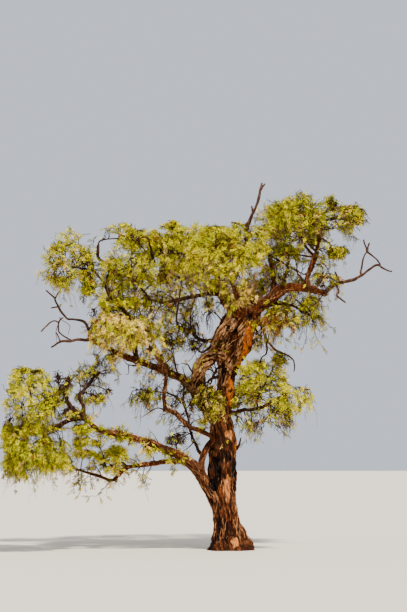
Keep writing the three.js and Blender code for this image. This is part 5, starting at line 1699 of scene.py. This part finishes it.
def sprays_of(mass, space, twigs, random):
    """Side twigs all along each twig, cut back to where they would leave the space."""
    number = len(twigs)
    places = np.linspace(FIRST_SPRAY, TWIG_POINTS - 1, SPRAYS_ON_TWIG)
    order = np.arange(number * SPRAYS_ON_TWIG).reshape(number, -1)
    angle = order * GOLDEN_ANGLE + random.normal(0, SPRAY_TURN, order.shape)
    opening = np.full(order.shape, OPENING)
    opening[:, -1] = LAST_OPENING
    starts, directions = leaving(twigs, places, angle, opening)
    away = unit(starts - space.middle)
    directions = unit(directions + away * LEAN_OUT + DOWN * LEAN_DOWN * mass.hang)
    length = SPRAY_LENGTH * size_scale(mass) * random.uniform(*SPRAY_SPREAD, len(starts))
    droop = (DROOP + HANG_DROOP * mass.hang) * length
    part = np.linspace(0, 1, SPRAY_POINTS)[None]
    ways = falling_ways(starts, directions, length, droop, part)
    free = (space.ragged_share(ways) < 1.0) & in_box(ways) & ~to_cut(ways)
    inside = np.cumprod(free, axis=1).sum(1)
    kept = np.maximum(inside - 1, 0) / (SPRAY_POINTS - 1)
    keep = kept >= SHORTEST_KEPT
    part = part * kept[keep][:, None]
    ways = falling_ways(starts[keep], directions[keep], length[keep], droop[keep], part)
    return ways + random.normal(0, SPRAY_WOBBLE, ways.shape) * (part > 0)[..., None]


def twiglets_on(sprays, count, longest, hang, random):
    """Short shoots to both sides of each spray, in its own tilted plane, and their parents."""
    number = len(sprays)
    places = np.linspace(FIRST_TWIGLET, 1, count) * (sprays.shape[1] - 1)
    plane = random.uniform(0, 2 * math.pi, (number, 1))
    tilt = plane + random.normal(0, TWIGLET_TILT, (number, count))
    tilt = tilt + math.pi * (np.arange(count) % 2)
    opening = random.uniform(*TWIGLET_OPENING, (number, count))
    starts, directions = leaving(sprays, places, tilt, opening)
    directions = unit(directions + DOWN * (0.1 + 0.5 * hang))
    length = longest * random.uniform(*TWIGLET_SPREAD, len(starts))
    return starts, starts + directions * length[:, None], np.repeat(np.arange(number), count)


print("a spray bears up to", TWIGLETS_ON_SPRAY, "twiglets")

# %% [markdown]
# ## Strands and tangles
# Two habits make this tree what it is. Dry strands with few leaves hang out of the underside of
# most masses, like a fringe. And the old limbs carry short tangled twigs along most of their
# length.

# %% Strands and tangles
STRANDS_IN_AREA = 75  # for a mass one metre in half width and half depth
LOWER_SHARE = 55  # the percentage of sprays, from below, that may carry a strand
STRAND_POINTS = 7
STRAND_WOBBLE = 0.012
TWIGLETS_ON_STRAND = 8
STRAND_TWIGLET = 0.1
STRAND_SPREAD = (0.35, 1.0)
LOWEST_STRAND = 0.25


def strands_of(mass, space, sprays, random):
    """Thin strands that hang from the ends of the lower sprays of a mass."""
    ends = sprays[:, -1]
    height = ((ends - space.middle) / space.half)[:, 2]
    lower = np.flatnonzero(height < np.percentile(height, LOWER_SHARE))
    wanted = round(STRANDS_IN_AREA * mass.half[0] * mass.half[1] * (0.3 + mass.fringe))
    count = min(len(lower), wanted)
    starts = ends[random.choice(lower, count, replace=False)]
    length = mass.fringe * random.uniform(*STRAND_SPREAD, count)
    turn = random.uniform(0, 2 * math.pi, count)
    sideways = np.stack([np.cos(turn), np.sin(turn), np.zeros(count)], 1)
    part = np.linspace(0, 1, STRAND_POINTS)[None]
    directions = unit(sideways + 0.6 * DOWN)
    ways = falling_ways(starts, directions, 0.35 * length, 0.8 * length, part)
    wobble = np.cumsum(random.normal(0, STRAND_WOBBLE, ways.shape), axis=1)
    ways = ways + wobble * (part > 0)[..., None]
    return ways[(in_box(ways) & (ways[..., 2] > LOWEST_STRAND) & ~in_opening(ways)).all(1)]


@dataclass
class Tangle:
    """Short twigs along a limb: how many a metre, the longest, how leafy and how hanging."""
    limb: str
    dense: float
    longest: float
    leafy: float
    hang: float


TANGLES = {
    "upper_left": [
        Tangle("black_limb", 9, 0.42, 0.25, 0.3),
        Tangle("back_bough_left", 5, 0.4, 0.3, 0.3),
    ],
    "upper_middle": [
        Tangle("left_reach", 11, 0.5, 0.3, 0.5),
        Tangle("middle_left_limb", 14, 0.5, 0.12, 0.5),
        Tangle("left_fork_bough", 9, 0.5, 0.08, 0.3),
        Tangle("upright_left", 9, 0.45, 0.4, 0.1),
        Tangle("upright_centre", 8, 0.4, 0.4, 0.1),
        Tangle("upright_right", 8, 0.4, 0.4, 0.1),
        Tangle("back_bough_centre", 6, 0.5, 0.3, 0.3),
        Tangle("front_bough", 6, 0.4, 0.3, 0.3),
    ],
    "upper_right": [
        Tangle("right_top_limb", 12, 0.5, 0.35, 0.2),
        Tangle("right_mid_limb", 12, 0.45, 0.3, 0.6),
        Tangle("right_low_limb", 12, 0.4, 0.2, 0.6),
        Tangle("right_fork_bough", 6, 0.4, 0.1, 0.4),
        Tangle("back_bough_right", 6, 0.4, 0.4, 0.2),
    ],
    "lower_left": [
        Tangle("long_left_bough", 14, 0.1, 0.6, 0.2),
        Tangle("low_left_bough", 7, 0.34, 0.35, 0.4),
        Tangle("crooked_bough", 9, 0.4, 0.05, 0.3),
        Tangle("crooked_prop", 9, 0.4, 0.08, 0.2),
        Tangle("inner_limb", 11, 0.42, 0.1, 0.4),
        Tangle("left_arm", 9, 0.42, 0.15, 0.5),
    ],
    "lower_right": [
        Tangle("twisted_limb", 14, 0.3, 0.04, 0.3),
        Tangle("cross_stem", 5, 0.24, 0.1, 0.2),
        Tangle("low_right_bough", 12, 0.36, 0.35, 0.7),
    ],
}
LIMB_POINTS = 40
FIRST_PLACE = 5  # of these points, below which a limb stays bare
TANGLE_POINTS = 6
TANGLE_WOBBLE = 0.022
SIDES_ON_TANGLE = 5
SIDE_OPENING = 0.85
TWIGLETS_ON_SIDE = 6
SIDE_TWIGLET = 0.11
FIRST_TANGLE_SEED = 100


def tangle_on(tangle, random):
    """Crooked twigs that leave a limb on all sides, and their own side twigs."""
    limb = LIMBS[tangle.limb]
    length = length_of(limb.way)
    count = max(3, round(tangle.dense * length))
    way = smooth_way(limb.way, LIMB_POINTS)[None]
    places = np.sort(random.uniform(FIRST_PLACE, LIMB_POINTS - 1, count))
    angle = (np.arange(count) * GOLDEN_ANGLE + random.normal(0, 0.4, count))[None]
    starts, directions = leaving(way, places, angle, random.uniform(0.8, 1.4, (1, count)))
    directions = unit(directions + UP * (0.25 - tangle.hang))
    reach = tangle.longest * random.uniform(0.4, 1.0, count)
    part = np.linspace(0, 1, TANGLE_POINTS)[None]
    ways = falling_ways(starts, directions, reach, tangle.hang * reach, part)
    ways = ways + np.cumsum(random.normal(0, TANGLE_WOBBLE, ways.shape), axis=1) * (part > 0)[..., None]
    places = np.linspace(1.4, TANGLE_POINTS - 1, SIDES_ON_TANGLE)
    angle = np.arange(count * SIDES_ON_TANGLE).reshape(count, -1) * GOLDEN_ANGLE
    starts, directions = leaving(ways, places, angle, np.full(angle.shape, SIDE_OPENING))
    reach = np.repeat(reach, SIDES_ON_TANGLE) * random.uniform(0.25, 0.6, len(starts))
    part = np.linspace(0, 1, SPRAY_POINTS)[None]
    sides = falling_ways(starts, directions, reach, tangle.hang * 0.7 * reach, part)
    sides = sides + random.normal(0, SPRAY_WOBBLE, sides.shape) * (part > 0)[..., None]
    return [some[(in_box(some) & ~in_opening(some)).all(1)] for some in (ways, sides)]


print(sum(map(len, TANGLES.values())), "limbs carry tangles")

# %% Leaves
LEAVES_ON_TWIGLET = 11
LEAF_LENGTH = 0.042
LEAF_WIDTH = 0.016
LEAF_WIDEST = 0.42  # where along the leaf it is widest
LEAF_FOLD = 0.25
LEAF_FACES = np.array([[0, 1, 2], [0, 2, 3]])
FIRST_LEAF = 0.12  # how far along the twiglet it grows
LEAF_SPREAD = (0.75, 1.2)
END_LEAF_TURN = 0.15  # how little the last leaf turns to the side
FACE_UP = 1.5
GAPS_IN_METRE = 4.2
GAP_BELOW = 0.26  # the noise below which there are no leaves
GAP_EDGE = 6
LIGHT_INSIDE = 0.75
LIGHT_FAR_OUT = 0.2
LIGHT_HIGH = 0.5
LEAST_LIGHT = 0.12


def leafiness(mass, space, places):
    """The chance of leaves on a twiglet: best high and far out, and none in the open gaps."""
    height = ((places - space.middle) / space.half)[:, 2]
    light = LIGHT_INSIDE + LIGHT_FAR_OUT * np.clip(space.share(places), 0, 1) + LIGHT_HIGH * height
    gaps = rough_noise(places * GAPS_IN_METRE, SEEDS["gaps"], 2)
    return mass.leafy * np.clip(light, LEAST_LIGHT, 1) * np.clip((gaps - GAP_BELOW) * GAP_EDGE, 0, 1)


def leaves_on(starts, ends, random):
    """Folded pointed leaves in two ranks along each twiglet, four corners to a leaf."""
    number = len(starts)
    ahead = unit(ends - starts)
    side = unit(np.cross(ahead, unit(random.normal(0, 1, ahead.shape) + (0, 0, FACE_UP))))
    part = np.linspace(FIRST_LEAF, 1, LEAVES_ON_TWIGLET)
    foot = (starts[:, None] + (ends - starts)[:, None] * part[None, :, None]).reshape(-1, 3)
    hand = np.tile(np.where(np.arange(LEAVES_ON_TWIGLET) % 2, 1.0, -1.0), number)
    hand[LEAVES_ON_TWIGLET - 1::LEAVES_ON_TWIGLET] *= END_LEAF_TURN
    ahead = np.repeat(ahead, LEAVES_ON_TWIGLET, 0)
    side = np.repeat(side, LEAVES_ON_TWIGLET, 0)
    out = unit(ahead * 0.75 + side * hand[:, None] + random.normal(0, 0.2, ahead.shape))
    over = unit(np.cross(out, ahead) * np.sign(hand)[:, None] + random.normal(0, 0.35, out.shape))
    across = unit(np.cross(over, out))
    over = np.cross(out, across)
    length = (LEAF_LENGTH * random.uniform(*LEAF_SPREAD, len(out)))[:, None]
    width = length * LEAF_WIDTH / LEAF_LENGTH
    waist = foot + out * length * LEAF_WIDEST + over * width * LEAF_FOLD
    tip = foot + out * length
    return np.stack([foot, waist + across * width / 2, tip, waist - across * width / 2], 1)


print("a leaf is", len(LEAF_FACES), "faces")

# %% [markdown]
# ## Leaf and twig colours
# A dry-season acacia isn't one green. Each spray draws a colour from the mix of its mass, and a
# little over half of its shoots take it. The others draw their own. The colours are fresh lime,
# older green, dull olive, straw and rust, and all leaves of one colour in one region of the
# crown are one piece.

# %% Paint for leaves and twigs
PAINT_DARKER = 0.72
PAINT_LIGHTER = 1.35
LEAF_TONES = {
    "lime": tone(226, 214, 4),
    "green": tone(164, 166, 2),
    "olive": tone(100, 90, 10),
    "straw": tone(246, 206, 106),
    "rust": tone(128, 70, 20),
}
MIXES = {  # the chance of each colour, in the order above
    "fresh": (0.50, 0.32, 0.12, 0.05, 0.01),
    "deep": (0.28, 0.42, 0.22, 0.05, 0.03),
    "dull": (0.24, 0.26, 0.32, 0.14, 0.04),
    "dry": (0.30, 0.08, 0.14, 0.44, 0.04),
    "pale": (0.04, 0.02, 0.06, 0.78, 0.10),
    "sparse": (0.20, 0.24, 0.38, 0.13, 0.05),
    "faded": (0.12, 0.14, 0.40, 0.30, 0.04),
    "rusty": (0.14, 0.08, 0.20, 0.26, 0.32),
}


def plain_paint(name, colour, roughness):
    """One colour, a little darker and lighter from leaf to leaf."""
    paint = bpy.data.materials.new(name)
    paint.use_nodes = True
    tree = paint.node_tree
    shader = tree.nodes["Principled BSDF"]
    shader.inputs["Roughness"].default_value = roughness
    shader.inputs["Specular IOR Level"].default_value = DULL
    place = add_node(tree, "ShaderNodeTexCoord").outputs["Object"]
    shift = noise_node(tree, place, 30, 2)
    darker = (*(PAINT_DARKER * np.array(colour[:3])), 1)
    lighter = (*np.minimum(PAINT_LIGHTER * np.array(colour[:3]), 1), 1)
    shade = ramp_node(tree, shift, [(0.3, darker), (0.5, colour), (0.7, lighter)])
    feed(tree, shader.inputs["Base Color"], shade)
    return paint


leaf_paints = {name: plain_paint(name + " leaf", colour, 0.6) for name, colour in LEAF_TONES.items()}
twig_paint = plain_paint("twig bark", tone(58, 32, 16), 0.85)
strand_paint = plain_paint("dry strand", tone(128, 100, 76), 0.9)
print(len(leaf_paints), "leaf colours are mixed")

# %% Grow every mass
STEM_TIP = 0.009
TWIG_FOOT = 0.0085
TWIG_TIP = 0.004
SPRAY_FOOT = 0.0045
SPRAY_TIP = 0.0022
TWIGLET_FOOT = 0.0026
STRAND_FOOT = 0.0038
STRAND_TIP = 0.0016
TANGLE_FOOT = 0.012
POINT = 0.0008
LIKE_SPRAY = 0.55  # the share of shoots that have the colour of their spray
STRAND_HANG = 0.6
STRAND_LEAFY = 0.12  # how leafy strands are, beside their mass
OUTERMOST = 1.06  # twiglets that end further out than this are left out


def leaves_for(mix, leafy, starts, ends, parents, random):
    """The leaves of the twiglets that bear any, and the number of the colour of each."""
    of_spray = random.choice(len(LEAF_TONES), parents.max(initial=-1) + 1, p=MIXES[mix])[parents]
    of_shoot = random.choice(len(LEAF_TONES), len(starts), p=MIXES[mix])
    colour = np.where(random.random(len(starts)) < LIKE_SPRAY, of_spray, of_shoot)
    bearing = random.random(len(starts)) < leafy
    leaves = leaves_on(starts[bearing], ends[bearing], random)
    return leaves, np.repeat(colour[bearing], LEAVES_ON_TWIGLET)


def spikes(starts, ends):
    """Twiglets, each one straight three-sided spike."""
    return tubes_along(np.stack([starts, ends], 1), TWIGLET_FOOT, POINT, 3)


def grow_mass(mass, others, seed):
    """The twigs and strands of a mass as tubes, and its leaves with their colours."""
    space = Space(mass, others)
    random = np.random.default_rng(seed)
    stem = stem_of(mass)
    twigs = twigs_of(mass, space, stem, random)
    sprays = sprays_of(mass, space, twigs, random)
    starts, ends, parents = twiglets_on(sprays, TWIGLETS_ON_SPRAY, TWIGLET_LENGTH, mass.hang, random)
    keep = (space.ragged_share(ends) < OUTERMOST) & in_box(ends) & ~to_cut(ends)
    starts, ends, parents = starts[keep], ends[keep], parents[keep]
    tubes = [
        tubes_along(stem[None], mass.thick, STEM_TIP, 8),
        tubes_along(twigs, TWIG_FOOT, TWIG_TIP, 5),
        tubes_along(sprays, SPRAY_FOOT, SPRAY_TIP, 3),
        spikes(starts, ends),
    ]
    crop = [leaves_for(mass.mix, leafiness(mass, space, starts), starts, ends, parents, random)]
    strands = strands_of(mass, space, sprays, random)
    starts, ends, parents = twiglets_on(
        strands, TWIGLETS_ON_STRAND, STRAND_TWIGLET, STRAND_HANG, random
    )
    crop.append(leaves_for("sparse", STRAND_LEAFY * mass.leafy, starts, ends, parents, random))
    return tubes, [tubes_along(strands, STRAND_FOOT, STRAND_TIP, 3), spikes(starts, ends)], crop


def grow_tangle(number, tangle):
    """The twigs of a tangle as tubes, and its leaves with their colours."""
    random = np.random.default_rng(FIRST_TANGLE_SEED + number)
    ways, sides = tangle_on(tangle, random)
    starts, ends, parents = twiglets_on(sides, TWIGLETS_ON_SIDE, SIDE_TWIGLET, tangle.hang, random)
    crop = leaves_for("sparse", tangle.leafy, starts, ends, parents, random)
    tubes = [
        tubes_along(ways, TANGLE_FOOT, TWIG_TIP, 4),
        tubes_along(sides, SPRAY_FOOT, SPRAY_TIP, 3),
        spikes(starts, ends),
    ]
    return tubes, crop


def twig_piece(name, tubes, paint, names):
    """One piece from many tubes, in the place of some plain masses."""
    piece = piece_from(name, *joined(tubes), paint)
    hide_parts(*names)
    print(name, "has", triangles_in(piece), "triangles")
    return piece


twig_pieces = []
leaf_pieces = []
for region, masses in MASSES.items():
    names = list(masses)
    twigs, strands, crop = [], [], []
    growing = []
    for name, mass in masses.items():
        growing.append((name, mass, [EVERY_MASS[other] for other in EVERY_MASS if other != name]))
    for name, tuft in LOOSE_TUFTS[region].items():
        growing.append((name, rooted(tuft), []))
    for name, mass, others in growing:
        mass_twigs, mass_strands, mass_crop = grow_mass(mass, others, zlib.crc32(name.encode()))
        twigs.extend(mass_twigs)
        strands.extend(mass_strands)
        crop.extend(mass_crop)
    for number, tangle in enumerate(TANGLES[region]):
        tangle_twigs, tangle_crop = grow_tangle(number, tangle)
        twigs.extend(tangle_twigs)
        crop.append(tangle_crop)
    twig_pieces.append(twig_piece(region + "_twigs", twigs, twig_paint, names))
    twig_pieces.append(twig_piece(region + "_strands", strands, strand_paint, names))
    leaves = np.concatenate([leaves for leaves, _ in crop])
    colours = np.concatenate([colours for _, colours in crop])
    for number, tint in enumerate(LEAF_TONES):
        chosen = leaves[colours == number]
        faces = (np.arange(len(chosen))[:, None, None] * 4 + LEAF_FACES).reshape(-1, 3)
        leaf_name = f"{region}_{tint}_leaves"
        leaf_piece = piece_from(leaf_name, chosen.reshape(-1, 3), [faces], leaf_paints[tint])
        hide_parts(*names)
        leaf_pieces.append(leaf_piece)
        print(leaf_piece.name, "has", len(chosen), "leaves")

# %% [markdown]
# ## One body
# Every piece stands still with the one body of the tree.

# %% Ride with the tree
for piece in [trunk, heavy, slender, dead, *strip_pieces, *twig_pieces, *leaf_pieces]:
    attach(piece, "root")
